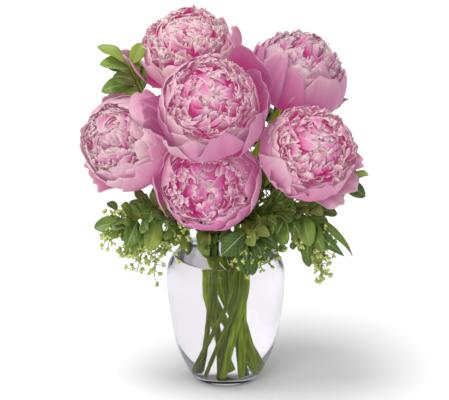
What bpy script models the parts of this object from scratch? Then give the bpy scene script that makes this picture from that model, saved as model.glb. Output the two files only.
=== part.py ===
"""Six cut peonies and seven foliage sprigs in a clear glass ginger vase with water.

The vase stands on its foot at the origin, +Z up, and the bouquet faces -Y.
Every stem passes through the neck, crosses the others near the middle of the
vase and stands on the glass floor.
"""
import math

import bpy
import numpy as np
from mathutils import Vector

# Vase, in metres: outline points (radius, height) of the glass
WALL = 0.0030
FLOOR_HEIGHT = 0.0080
FOOT_OUTLINE = [(0.0300, 0.0000), (0.0345, 0.0012), (0.0375, 0.0055)]
BODY_OUTLINE = [
    (0.0375, 0.0055), (0.0446, 0.0184), (0.0506, 0.0330), (0.0559, 0.0530),
    (0.0604, 0.0800), (0.0626, 0.1060), (0.0618, 0.1240), (0.0568, 0.1350),
    (0.0470, 0.1450), (0.0355, 0.1505), (0.0305, 0.1560), (0.0310, 0.1640),
]
LIP_OUTLINE = [(0.0350, 0.1700), (0.0342, 0.1718), (0.0322, 0.1710)]
VASE_SEGMENTS = 32
WATER_LEVEL = 0.1370
WATER_SEGMENTS = 24
GAP = 0.0003

# Stem lattice: every stem touches a waist circle and spreads above and below it
WAIST_HEIGHT = 0.0790
LEAN = 0.38
UPPER_REACH = 0.0420
NECK_EXIT = 0.1680
STATIONS = [WAIST_HEIGHT, 0.0940, 0.1090, 0.1240, WATER_LEVEL + 0.0030, 0.1540, NECK_EXIT]
OUTER_WAIST = 0.0130
INNER_WAIST = 0.0073
INNER_SPREAD = 0.56
STEM_FOOT = FLOOR_HEIGHT + 0.0019
CHANNEL_GAP = 0.00035

# Peony: the ball of inner petals is an ellipsoid, and every layer is an offset of it
HEART_RADIUS = 0.0430
HEART_DEPTH = 0.0350
PETAL_THICKNESS = 0.0010
INNER_LAYER = 0.0015
OUTER_LAYER = 0.0040
SEPAL_LAYER = 0.0065
SEPAL_THICKNESS = 0.0012
CALYX_DEPTH = 0.0130
STEM_COLLAR = 0.0040
PEONY_STEM_RADIUS = 0.0032
SPRIG_STEM_RADIUS = 0.0020

# name, centre of the ball, direction it faces, size, neck slot in degrees
PEONIES = [
    ("top_left", (-0.039, 0.034, 0.358), (-0.15, -0.42, 0.89), 0.98, 126),
    ("top_right", (0.078, 0.036, 0.331), (0.42, -0.10, 0.90), 1.00, 54),
    ("centre", (-0.0165, -0.066, 0.324), (0.00, -0.82, 0.57), 1.04, 90),
    ("left", (-0.108, -0.012, 0.267), (-0.58, -0.72, 0.38), 0.96, 198),
    ("low", (-0.019, -0.044, 0.2265), (-0.05, -0.98, 0.14), 1.00, 162),
    ("right", (0.087, -0.050, 0.270), (0.35, -0.78, 0.52), 1.00, 18),
]

# guard petal: turn around the bloom, half width, tip angle (degrees), layer, flare in metres
GUARD_PETALS = [
    ("a", 0, 56, 112, INNER_LAYER, 0.0030),
    ("b", 180, 56, 108, INNER_LAYER, 0.0030),
    ("c", 90, 58, 102, OUTER_LAYER, 0.0055),
    ("d", 270, 58, 98, OUTER_LAYER, 0.0055),
]

# Leaf: where on its sprig (0 neck, 1 tip), heading and climb in degrees, length, width
SPRIGS = [
    {
        "name": "upper_left_leaves", "slot": 216, "ring": "inner", "colour": "leaf_light",
        "route": [(-0.018, -0.0125, 0.184), (-0.034, -0.002, 0.212), (-0.066, 0.014, 0.262),
                  (-0.086, 0.022, 0.308), (-0.101, 0.014, 0.342)],
        "leaves": [
            (1.00, 150, 62, 0.038, 0.021), (0.93, 200, 25, 0.042, 0.022),
            (0.90, 112, 30, 0.034, 0.018), (0.86, 192, 10, 0.044, 0.023),
            (0.78, 110, 5, 0.036, 0.020), (0.72, 130, 10, 0.044, 0.022),
            (0.58, 115, 0, 0.040, 0.020),
        ],
        "seeds": [],
    },
    {
        "name": "lower_left_eucalyptus", "slot": 234, "ring": "outer", "colour": "leaf_grey_green",
        "route": [(-0.030, -0.024, 0.178), (-0.066, -0.028, 0.190), (-0.104, -0.026, 0.184)],
        "leaves": [
            (1.00, 190, -10, 0.034, 0.017), (0.88, 245, -25, 0.038, 0.020),
            (0.84, 130, 5, 0.036, 0.018), (0.70, 250, -40, 0.040, 0.020),
            (0.62, 120, -10, 0.036, 0.018), (0.52, 255, -45, 0.036, 0.018),
        ],
        "seeds": [(0.94, 215, -70, 0.034), (0.78, 200, -75, 0.040), (0.60, 225, -80, 0.030)],
    },
    {
        "name": "lower_right_eucalyptus", "slot": 342, "ring": "outer", "colour": "leaf_grey_green",
        "route": [(0.040, -0.020, 0.190), (0.074, -0.026, 0.196), (0.100, -0.028, 0.180)],
        "leaves": [
            (1.00, 350, -38, 0.062, 0.013), (0.90, 300, -55, 0.038, 0.020),
            (0.80, 60, -10, 0.036, 0.018), (0.72, 290, -45, 0.036, 0.020),
            (0.60, 70, -5, 0.036, 0.020), (0.48, 290, -50, 0.036, 0.022),
        ],
        "seeds": [(0.94, 330, -80, 0.034), (0.82, 20, -40, 0.036), (0.66, 320, -78, 0.034)],
    },
    {
        "name": "right_leaves", "slot": 0, "ring": "inner", "colour": "leaf_dark",
        "route": [(0.030, -0.001, 0.192), (0.085, 0.018, 0.210), (0.122, 0.008, 0.216)],
        "leaves": [
            (1.00, 340, 20, 0.032, 0.017), (0.90, 60, 10, 0.034, 0.018),
            (0.84, 300, -15, 0.032, 0.017), (0.72, 80, 15, 0.036, 0.019),
            (0.56, 90, 0, 0.036, 0.019),
        ],
        "seeds": [],
    },
    {
        "name": "front_leaves", "slot": 306, "ring": "outer", "colour": "leaf_dark",
        "route": [(0.020, -0.034, 0.181), (0.024, -0.050, 0.181)],
        "leaves": [
            (1.00, 268, -75, 0.044, 0.018), (0.88, 200, -40, 0.036, 0.022),
            (0.76, 330, -50, 0.036, 0.018),
        ],
        "seeds": [],
    },
    {
        "name": "back_left_leaves", "slot": 108, "ring": "inner", "colour": "leaf_dark",
        "route": [(-0.0067, 0.0215, 0.184), (-0.014, 0.050, 0.225), (-0.040, 0.072, 0.270),
                  (-0.052, 0.080, 0.305)],
        "leaves": [
            (1.00, 100, 60, 0.044, 0.024), (0.90, 180, 20, 0.044, 0.024),
            (0.86, 20, 20, 0.042, 0.022), (0.74, 190, 0, 0.046, 0.024),
            (0.66, 60, 5, 0.044, 0.024), (0.52, 190, -15, 0.044, 0.024),
            (0.40, 110, -15, 0.042, 0.022),
        ],
        "seeds": [],
    },
    {
        "name": "back_right_leaves", "slot": 72, "ring": "inner", "colour": "leaf_dark",
        "route": [(0.020, 0.054, 0.215), (0.042, 0.080, 0.245), (0.064, 0.092, 0.270)],
        "leaves": [
            (1.00, 60, 55, 0.044, 0.024), (0.90, 0, 15, 0.044, 0.024),
            (0.86, 140, 25, 0.042, 0.022), (0.72, 350, -5, 0.046, 0.024),
            (0.64, 120, 5, 0.044, 0.024), (0.50, 10, -20, 0.044, 0.024),
            (0.38, 90, -15, 0.042, 0.022),
        ],
        "seeds": [],
    },
]
LEAF_THICKNESS = 0.0012
SEED_TWIG_RADIUS = 0.0008
SEED_CLUSTER_RADIUS = 0.0062

# material name: base colour, roughness, transmission
FINISHES = {
    "glass": ((0.90, 0.94, 0.94), 0.04, 1.0),
    "water": ((0.93, 0.94, 0.97), 0.02, 1.0),
    "petal": ((0.80, 0.38, 0.56), 0.60, 0.0),
    "heart": ((0.70, 0.22, 0.42), 0.65, 0.0),
    "calyx": ((0.20, 0.33, 0.10), 0.60, 0.0),
    "stem": ((0.22, 0.36, 0.08), 0.50, 0.0),
    "leaf_light": ((0.26, 0.40, 0.12), 0.50, 0.0),
    "leaf_dark": ((0.10, 0.20, 0.06), 0.50, 0.0),
    "leaf_grey_green": ((0.20, 0.32, 0.12), 0.55, 0.0),
}


def clear_scene():
    for old in list(bpy.data.objects):
        bpy.data.objects.remove(old)


def make_materials():
    made = {}
    for name, (colour, roughness, transmission) in FINISHES.items():
        made[name] = bpy.data.materials.new(name)
        made[name].use_nodes = True
        shader = made[name].node_tree.nodes["Principled BSDF"]
        shader.inputs["Base Color"].default_value = (*colour, 1.0)
        shader.inputs["Roughness"].default_value = roughness
        shader.inputs["Metallic"].default_value = 0.0
        shader.inputs["Transmission Weight"].default_value = transmission
    return made


def add_object(name, verts, faces, material=None, collection=None):
    """Make one mesh object, shaded smooth except across edges sharper than 50 degrees."""
    mesh = bpy.data.meshes.new(name)
    mesh.from_pydata([tuple(v) for v in verts], [], faces)
    mesh.shade_smooth()
    mesh.set_sharp_from_angle(angle=math.radians(50))
    if material:
        mesh.materials.append(material)
    obj = bpy.data.objects.new(name, mesh)
    (collection or bpy.context.scene.collection).objects.link(obj)
    return obj


def skin(rings):
    """Closed skin over rings of equal point count; one point closes each end."""
    count = len(rings[1])
    verts = [rings[0]]
    for ring in rings[1:-1]:
        verts.extend(ring)
    verts.append(rings[-1])
    last = len(verts) - 1
    faces = []
    for i in range(count):
        j = (i + 1) % count
        faces.append((0, 1 + j, 1 + i))
        faces.append((last, last - count + i, last - count + j))
        for row in range(len(rings) - 3):
            a = 1 + row * count
            faces.append((a + i, a + j, a + count + j, a + count + i))
    return verts, faces


def smooth_outline(points, steps):
    """Catmull-Rom curve through the points, with so many steps to each span."""
    pts = [np.array(p, float) for p in points]
    pts = [2 * pts[0] - pts[1], *pts, 2 * pts[-1] - pts[-2]]
    out = []
    for a, b, c, d in zip(pts, pts[1:], pts[2:], pts[3:]):
        for k in range(steps):
            t = k / steps
            out.append(0.5 * (2 * b + (c - a) * t + (2 * a - 5 * b + 4 * c - d) * t ** 2
                              + (3 * b - a - 3 * c + d) * t ** 3))
    out.append(pts[-2])
    return out


def turn_outline(outline, segments):
    """Turn (radius, height) points about Z; the outline starts and ends on the axis."""
    rings = [(0.0, 0.0, outline[0][1])]
    for radius, height in outline[1:-1]:
        angles = [2 * math.pi * k / segments for k in range(segments)]
        rings.append([(radius * math.cos(a), radius * math.sin(a), height) for a in angles])
    rings.append((0.0, 0.0, outline[-1][1]))
    return skin(rings)


def inner_outline():
    """Inside of the glass from the floor's centre to just under the lip."""
    wall = [(r - WALL, z) for r, z in BODY_OUTLINE[2:]]
    return [(0.0, FLOOR_HEIGHT), (0.0310, FLOOR_HEIGHT), (0.0375, 0.0125), *smooth_outline(wall, 1)]


def make_vase(materials):
    outside = smooth_outline([*FOOT_OUTLINE, *BODY_OUTLINE[1:]], 1)
    inside = inner_outline()
    outline = [(0.0, 0.0), *outside, *LIP_OUTLINE, *reversed(inside)]
    verts, faces = turn_outline(outline, VASE_SEGMENTS)
    add_object("vase", verts, faces, materials["glass"])


def spread_at(height):
    """How far a stem has moved sideways along its tangent line at this height."""
    rise = height - WAIST_HEIGHT
    if rise < 0:
        return LEAN * rise
    return LEAN * UPPER_REACH * math.tanh(rise / UPPER_REACH)


def lattice_point(ring, slot, height):
    """Centre of a stem in the vase; slot is its heading in degrees where it leaves the neck."""
    waist = OUTER_WAIST if ring == "outer" else INNER_WAIST
    share = 1.0 if ring == "outer" else INNER_SPREAD
    neck_turn = math.atan2(share * spread_at(NECK_EXIT), waist)
    heading = math.radians(slot) - neck_turn
    out = Vector((math.cos(heading), math.sin(heading), 0.0))
    along = Vector((-math.sin(heading), math.cos(heading), 0.0))
    return out * waist + along * share * spread_at(height) + Vector((0, 0, height))


def lattice_route(ring, slot, foot):
    """The stretch of a stem from its foot to the neck; it is straight below the waist."""
    return [lattice_point(ring, slot, height) for height in (foot, *STATIONS)]


def hermite(start, start_pull, end, end_pull, steps):
    """Cubic curve between two points that leaves and arrives along the pulls."""
    out = []
    for k in range(1, steps + 1):
        t = k / steps
        out.append(start * (2 * t ** 3 - 3 * t ** 2 + 1) + start_pull * (t ** 3 - 2 * t ** 2 + t)
                   + end * (3 * t ** 2 - 2 * t ** 3) + end_pull * (t ** 3 - t ** 2))
    return out


def tube(points, radius_at, sides):
    """Closed tube along the points; radius_at(share along it) gives its radius."""
    points = [Vector(p) for p in points]
    rings = []
    side = Vector((1.0, 0.0, 0.0))
    for k, point in enumerate(points):
        ahead = points[min(k + 1, len(points) - 1)] - points[max(k - 1, 0)]
        ahead.normalize()
        side = (side - ahead * side.dot(ahead)).normalized()
        up = ahead.cross(side)
        radius = radius_at(k / (len(points) - 1))
        angles = [2 * math.pi * j / sides for j in range(sides)]
        rings.append([point + (side * math.cos(a) + up * math.sin(a)) * radius for a in angles])
    return skin([points[0], *rings, points[-1]])


def frame_of(axis):
    """Three unit vectors of a bloom: two across it, and the way it faces."""
    face = Vector(axis).normalized()
    across = Vector((0, 0, 1)).cross(face).normalized()
    return across, face.cross(across), face


def bloom_point(bloom, turn, angle, layer, flare=0.0):
    """Point on the bloom's offset ball: turn about its axis, angle from its underside."""
    _, centre, axis, size, _ = bloom
    across, upward, face = frame_of(axis)
    reach = (HEART_RADIUS * size + layer) * math.sin(angle) + flare
    depth = -(HEART_DEPTH * size + layer) * math.cos(angle)
    return Vector(centre) + (across * math.cos(turn) + upward * math.sin(turn)) * reach + face * depth


def make_heart(bloom, materials):
    """The packed inner petals as one ball."""
    rows, columns = 9, 16
    turns = [2 * math.pi * k / columns for k in range(columns)]
    rings = [bloom_point(bloom, 0, 0, 0)]
    for row in range(1, rows):
        angle = math.pi * row / rows
        rings.append([bloom_point(bloom, turn, angle, 0) for turn in turns])
    rings.append(bloom_point(bloom, 0, math.pi, 0))
    verts, faces = skin(rings)
    add_object(f"peony_{bloom[0]}_heart", verts, faces, materials["heart"])


def make_guard_petal(bloom, petal, materials):
    """A cupped petal that wraps the ball from below and flares at its rounded tip."""
    letter, turn, half_width, tip, layer, flare = petal
    rows, columns = 5, 6
    verts = []
    for row in range(rows + 1):
        share = row / rows
        width = math.radians(half_width) * (0.62 + 0.38 * math.sin(math.pi * min(share, 0.7) / 1.4))
        for column in range(columns + 1):
            side = 2 * column / columns - 1
            angle = math.radians(13 + (tip - 13) * share * (1 - 0.16 * side * side * share))
            lift = flare * max(0.0, (share - 0.5) * 2) ** 1.5
            verts.append(bloom_point(bloom, math.radians(turn) + side * width, angle, layer, lift))
    faces = []
    for row in range(rows):
        for column in range(columns):
            a = row * (columns + 1) + column
            faces.append((a, a + 1, a + columns + 2, a + columns + 1))
    obj = add_object(f"peony_{bloom[0]}_petal_{letter}", verts, faces, materials["petal"])
    solidify = obj.modifiers.new("thickness", "SOLIDIFY")
    solidify.thickness = PETAL_THICKNESS
    solidify.offset = 1.0


def make_calyx(bloom, materials):
    """Receptacle under the ball with a five-lobed cup of sepals and a collar for the stem."""
    _, centre, axis, size, _ = bloom
    across, upward, face = frame_of(axis)
    bottom = HEART_DEPTH * size
    count = 15

    def level(radius, depth):
        ring = []
        for k in range(count):
            turn = 2 * math.pi * k / count
            heading = across * math.cos(turn) + upward * math.sin(turn)
            ring.append(Vector(centre) + heading * radius - face * depth)
        return ring

    def sepals(layer, share):
        ring = []
        for k in range(count):
            turn = 2 * math.pi * k / count
            lobe = math.radians(24 + 9 * math.cos(5 * turn))
            ring.append(bloom_point(bloom, turn, math.radians(10) * (1 - share) + lobe * share, layer))
        return ring

    rings = [
        Vector(centre) - face * (bottom + GAP),
        level(0.0040, bottom + GAP),
        level(0.0046, bottom + SEPAL_LAYER * 0.96),
        sepals(SEPAL_LAYER, 0.0),
        sepals(SEPAL_LAYER, 1.0),
        sepals(SEPAL_LAYER + SEPAL_THICKNESS, 1.0),
        level(0.0056, bottom + SEPAL_LAYER + 0.0030),
        level(0.0042, bottom + CALYX_DEPTH),
        Vector(centre) - face * (bottom + CALYX_DEPTH),
    ]
    verts, faces = skin(rings)
    add_object(f"peony_{bloom[0]}_calyx", verts, [f[::-1] for f in faces], materials["calyx"])


def peony_stem_route(bloom):
    _, centre, axis, size, slot = bloom
    face = Vector(axis).normalized()
    start = lattice_point("outer", slot, NECK_EXIT)
    pull = (start - lattice_point("outer", slot, NECK_EXIT - 0.004)).normalized()
    end = Vector(centre) - face * (HEART_DEPTH * size + CALYX_DEPTH + GAP)
    length = (end - start).length
    near_end = end - face * STEM_COLLAR
    return [*hermite(start, pull * length * 1.1, near_end, face * length * 1.1, 9), end]


def make_peony(bloom, materials):
    make_heart(bloom, materials)
    for petal in GUARD_PETALS:
        make_guard_petal(bloom, petal, materials)
    make_calyx(bloom, materials)
    route = [*lattice_route("outer", bloom[4], STEM_FOOT), *peony_stem_route(bloom)]
    verts, faces = tube(route, lambda share: PEONY_STEM_RADIUS, 8)
    add_object(f"peony_{bloom[0]}_stem", verts, faces, materials["stem"])


def sprig_route(sprig):
    foot = lattice_route(sprig["ring"], sprig["slot"], STEM_FOOT)
    return [*foot, *smooth_outline([foot[-1], *sprig["route"]], 4)[1:]]


def station(route, share):
    """Point at this share of the sprig's length above the neck."""
    above = route[len(STATIONS):]
    place = share * (len(above) - 1)
    k = min(int(place), len(above) - 2)
    return Vector(above[k]).lerp(Vector(above[k + 1]), place - k)


def direction(heading, climb):
    heading, climb = math.radians(heading), math.radians(climb)
    flat = math.cos(climb)
    return Vector((flat * math.cos(heading), flat * math.sin(heading), math.sin(climb)))


def leaf_rings(root, heading, climb, length, width):
    """Pointed oval blade of lens section that arches down a little towards its tip."""
    ahead = direction(heading, climb)
    side = ahead.cross(Vector((0, 0, 1))).normalized()
    up = side.cross(ahead)
    rings = [root]
    for share, spread in ((0.06, 0.10), (0.30, 0.80), (0.55, 1.00), (0.80, 0.66)):
        middle = root + ahead * length * share - Vector((0, 0, 0.10 * length * share ** 2))
        thick = up * LEAF_THICKNESS * 0.5
        edge = side * width * 0.5 * spread
        rings.append([middle + edge, middle + thick, middle - edge, middle - thick])
    rings.append(root + ahead * length - Vector((0, 0, 0.10 * length)))
    return rings


def add_cluster(name, root, heading, climb, length, collection):
    """A thin twig that ends in one lump of seeds."""
    tip = root + direction(heading, climb) * length
    verts, faces = tube([root, tip], lambda share: SEED_TWIG_RADIUS, 5)
    add_object(name + "_twig", verts, faces, None, collection)
    rings = [tip - Vector((0, 0, SEED_CLUSTER_RADIUS * 1.3))]
    for climb_angle in (-45, 0, 45):
        rings.append([tip + direction(k * 60, climb_angle) * SEED_CLUSTER_RADIUS for k in range(6)])
    rings.append(tip + Vector((0, 0, SEED_CLUSTER_RADIUS * 1.3)))
    verts, faces = skin(rings)
    add_object(name + "_seeds", verts, faces, None, collection)


def add_boolean(obj, operation, operand):
    """Join or cut with one object, or with every object of a collection."""
    modifier = obj.modifiers.new(operation.lower(), "BOOLEAN")
    modifier.operation = operation
    modifier.solver = "EXACT"
    if isinstance(operand, bpy.types.Collection):
        modifier.operand_type = "COLLECTION"
        modifier.collection = operand
    else:
        modifier.object = operand


def make_sprig(sprig, materials):
    """One sprig: its stem with every leaf and seed cluster joined on."""
    route = sprig_route(sprig)
    verts, faces = tube(route, lambda share: SPRIG_STEM_RADIUS * (1.0 - 0.45 * max(0.0, share - 0.5)), 6)
    stem = add_object(sprig["name"], verts, faces, materials[sprig["colour"]])
    pieces = bpy.data.collections.new(sprig["name"] + "_pieces")
    bpy.context.scene.collection.children.link(pieces)
    for k, (share, heading, climb, length, width) in enumerate(sprig["leaves"]):
        root = station(route, share) - direction(heading, climb) * 0.0010
        verts, faces = skin(leaf_rings(root, heading, climb, length, width))
        add_object(f"{sprig['name']}_blade_{k}", verts, faces, None, pieces)
    for k, (share, heading, climb, length) in enumerate(sprig["seeds"]):
        add_cluster(f"{sprig['name']}_cluster_{k}", station(route, share), heading, climb, length, pieces)
    hide_helpers(pieces)
    add_boolean(stem, "UNION", pieces)


def hide_helpers(collection):
    for helper in collection.objects:
        helper.hide_render = True
        helper.display_type = "WIRE"


def make_water(materials):
    """Water up to its level, with a channel around every stem."""
    outline = [(0.0, FLOOR_HEIGHT + GAP)]
    for radius, height in inner_outline()[1:]:
        if height < WATER_LEVEL - 0.003:
            outline.append((radius - GAP * 1.4, height + GAP))
    radii, heights = np.array(inner_outline()).T
    top = float(np.interp(WATER_LEVEL, heights, radii))
    outline.append((top - GAP * 2.0, WATER_LEVEL))
    outline.append((0.0, WATER_LEVEL))
    verts, faces = turn_outline(outline, WATER_SEGMENTS)
    water = add_object("water", verts, faces, materials["water"])
    channels = bpy.data.collections.new("stem_channels")
    bpy.context.scene.collection.children.link(channels)
    stems = [("outer", bloom[4], PEONY_STEM_RADIUS) for bloom in PEONIES]
    stems += [(sprig["ring"], sprig["slot"], SPRIG_STEM_RADIUS) for sprig in SPRIGS]
    for k, (ring, slot, radius) in enumerate(stems):
        sides = 8 if k < len(PEONIES) else 6
        route = lattice_route(ring, slot, FLOOR_HEIGHT - 0.004)[:-1]
        verts, faces = tube(route, lambda share, r=radius: r + CHANNEL_GAP, sides)
        add_object(f"channel_{k}", verts, faces, None, channels)
    hide_helpers(channels)
    add_boolean(water, "DIFFERENCE", channels)


def main():
    clear_scene()
    materials = make_materials()
    make_vase(materials)
    make_water(materials)
    for bloom in PEONIES:
        make_peony(bloom, materials)
    for sprig in SPRIGS:
        make_sprig(sprig, materials)


main()
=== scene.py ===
"""Six double peonies with foliage in a clear glass vase, laid out as an add-on and run as a script."""
import math
from collections import namedtuple

import bpy
import numpy as np
from bpy.props import FloatProperty, FloatVectorProperty, IntProperty, PointerProperty
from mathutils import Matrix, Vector


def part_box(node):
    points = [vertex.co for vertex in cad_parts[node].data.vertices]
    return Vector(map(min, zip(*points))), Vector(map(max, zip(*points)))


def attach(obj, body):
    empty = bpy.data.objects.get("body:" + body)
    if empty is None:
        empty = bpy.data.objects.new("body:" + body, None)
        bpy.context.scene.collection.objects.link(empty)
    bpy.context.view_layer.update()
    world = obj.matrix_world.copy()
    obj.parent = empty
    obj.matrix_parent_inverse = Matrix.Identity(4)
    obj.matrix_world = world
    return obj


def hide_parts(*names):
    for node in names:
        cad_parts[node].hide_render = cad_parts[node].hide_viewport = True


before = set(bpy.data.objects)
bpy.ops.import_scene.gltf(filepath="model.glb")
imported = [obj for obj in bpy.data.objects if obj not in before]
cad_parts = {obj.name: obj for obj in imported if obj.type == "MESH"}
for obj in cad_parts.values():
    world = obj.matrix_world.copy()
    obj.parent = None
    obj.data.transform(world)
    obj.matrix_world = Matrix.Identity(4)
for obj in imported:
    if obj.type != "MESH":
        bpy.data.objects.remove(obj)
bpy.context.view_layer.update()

bl_info = {
    "name": "Peonies in a vase",
    "version": (1, 0, 0),
    "blender": (4, 5, 0),
    "location": "3D Viewport > Sidebar > Bouquet",
    "description": "Builds a glass vase of double peonies with eucalyptus and leaf sprigs",
    "category": "Add Mesh",
}

BODY = "root"

# ------------------------------------------------------------------ driving dimensions, in metres
# the glass: its wall, the top of its thick bottom, and its outline as (radius, height)
WALL = 0.0030
FLOOR_HEIGHT = 0.0080
WATER_LEVEL = 0.1370
FOOT_OUTLINE = [(0.0300, 0.0000), (0.0345, 0.0012), (0.0375, 0.0055)]
BODY_OUTLINE = [
    (0.0375, 0.0055), (0.0446, 0.0184), (0.0506, 0.0330), (0.0559, 0.0530),
    (0.0604, 0.0800), (0.0626, 0.1060), (0.0618, 0.1240), (0.0568, 0.1350),
    (0.0470, 0.1450), (0.0355, 0.1505), (0.0305, 0.1560), (0.0310, 0.1640),
]
LIP_OUTLINE = [(0.0350, 0.1700), (0.0342, 0.1718), (0.0322, 0.1710)]

# the stems' lattice: the height where they cross closest, how far they move sideways per rise, the
# height over which that eases off, where they leave the neck, the radii of the two circles that
# they touch, and how far the inner ones spread next to the outer ones
WAIST_HEIGHT = 0.0790
LEAN = 0.38
UPPER_REACH = 0.0420
NECK_EXIT = 0.1680
OUTER_WAIST = 0.0130
INNER_WAIST = 0.0073
INNER_SPREAD = 0.56
STEM_FOOT = FLOOR_HEIGHT + 0.0019

# a full bloom: its ball, the calyx under it, and the last straight bit of its stem
HEART_RADIUS = 0.0430
HEART_DEPTH = 0.0350
CALYX_DEPTH = 0.0130
STEM_COLLAR = 0.0040
PEONY_STEM_RADIUS = 0.0032
SPRIG_STEM_RADIUS = 0.0020

# face is the direction it faces, slot its place in the neck in degrees; the CAD heart gives the centre
Peony = namedtuple("Peony", "name face size slot")
PEONIES = [
    Peony("top_left", (-0.15, -0.42, 0.89), 0.98, 126),
    Peony("top_right", (0.42, -0.10, 0.90), 1.00, 54),
    Peony("centre", (0.00, -0.82, 0.57), 1.04, 90),
    Peony("left", (-0.58, -0.72, 0.38), 0.96, 198),
    Peony("low", (-0.05, -0.98, 0.14), 1.00, 162),
    Peony("right", (0.35, -0.78, 0.52), 1.00, 18),
]

# how far a bloom's petals are moved from the middle of its CAD heart
BLOOM_SHIFTS = {"low": np.array([0.0, -0.002, 0.006]), "top_left": np.array([-0.002, 0.0, 0.003])}
# how flat the front half of a bloom's ball is, next to a full one
BLOOM_FLATNESS = {"top_left": 0.74}

# turn from one petal to the next, and how far the ball of petals swells past the CAD heart
GOLDEN_TURN = math.radians(137.5)
BALL_SWELL = 1.05
PETAL_THICKNESS = 0.0004
LEAF_THICKNESS = 0.0004
# points closer than this are welded; the water goes this far into the glass, so that no gap shows,
# and climbs it this far at its edge
POLE_MERGE = 0.00002
WATER_BITE = 0.0001
MENISCUS = 0.0012
SHORT_STALK = 0.0040
TWIG_RADIUS = 0.0006
# size of the core under the petals, next to the ball
CORE_SHARE = 0.62
# the crown, in degrees from the front, that the set number of centre petals fills
FULL_CROWN = 60
# a crumpled petal runs from its pale edge back to its deep base this much sooner than a wide one
# so its deep base colour also paints shade into the crevices between the crumpled petals
DEEP_SHARE = 1.65
# the waves of the guard petals, next to the ruffle setting
GUARD_RUFFLE = 1.3
# rows and columns of a crumpled petal or sepal, a wrapping petal and a guard petal
SMALL_GRID = (12, 9)
WRAP_GRID = (22, 19)
GUARD_GRID = (26, 23)
SEPALS = 5
SEPAL_REACH = 1.14
TUFTS = 22
SEEDS_PER_TUFT = 5
SEED_SIDES = 7
# radius and height of a seed for a size of one
SEED_OUTLINE = [(0.0, 0.0), (0.30, 0.25), (0.52, 0.80), (0.50, 1.35), (0.28, 1.80), (0.0, 1.95)]
FLOOR_HALF = 5.0
# the camera sees this width at its aim
VIEW_WIDTH = 0.4715
SENSOR_WIDTH = 36.0
CAMERA_AIM = (-0.0013, 0.0, 0.198)

# first seeds of the random draws; each bloom or sprig adds its own number
BALL_SEED, GUARD_SEED, STEM_SEED, CALYX_SEED, SPRIG_SEED, BLADE_SEED, CLUSTER_SEED = range(100, 800, 100)

# colours that a bloom's settings lean to, how far light spreads in stems and leaves (metres), and
# how much of the usual reflection glass and water keep
CREAM = (0.82, 0.66, 0.62)
CRIMSON = (0.36, 0.01, 0.10)
MAGENTA = (0.60, 0.13, 0.36)
GREEN_SCATTER = (0.001, 0.002, 0.0005)
DIM_REFLECTION = (0.25, 0.25, 0.25, 1.0)

# per bloom: how far its colours lean to cream (paler) and to magenta (deeper), how far from the
# front (degrees) its crumpled petals reach, and factors on the colours of its ball and its guards
# a guard factor below its ball's, as for the centre and right blooms, is painted shade on guards that lie
# in shadow
Look = namedtuple("Look", "paler deeper crown ball_shade guard_shade")
BLOOM_LOOKS = {
    "top_left": Look(1.00, 0.0, 90, 0.80, 0.78), "top_right": Look(0.20, 0.0, 64, 0.69, 0.68),
    "centre": Look(0.35, 0.1, 80, 0.80, 0.68), "left": Look(0.70, 0.0, 60, 0.73, 0.75),
    "low": Look(0.0, 0.9, 76, 0.82, 0.80), "right": Look(0.45, 0.1, 82, 0.80, 0.72),
}

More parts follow.
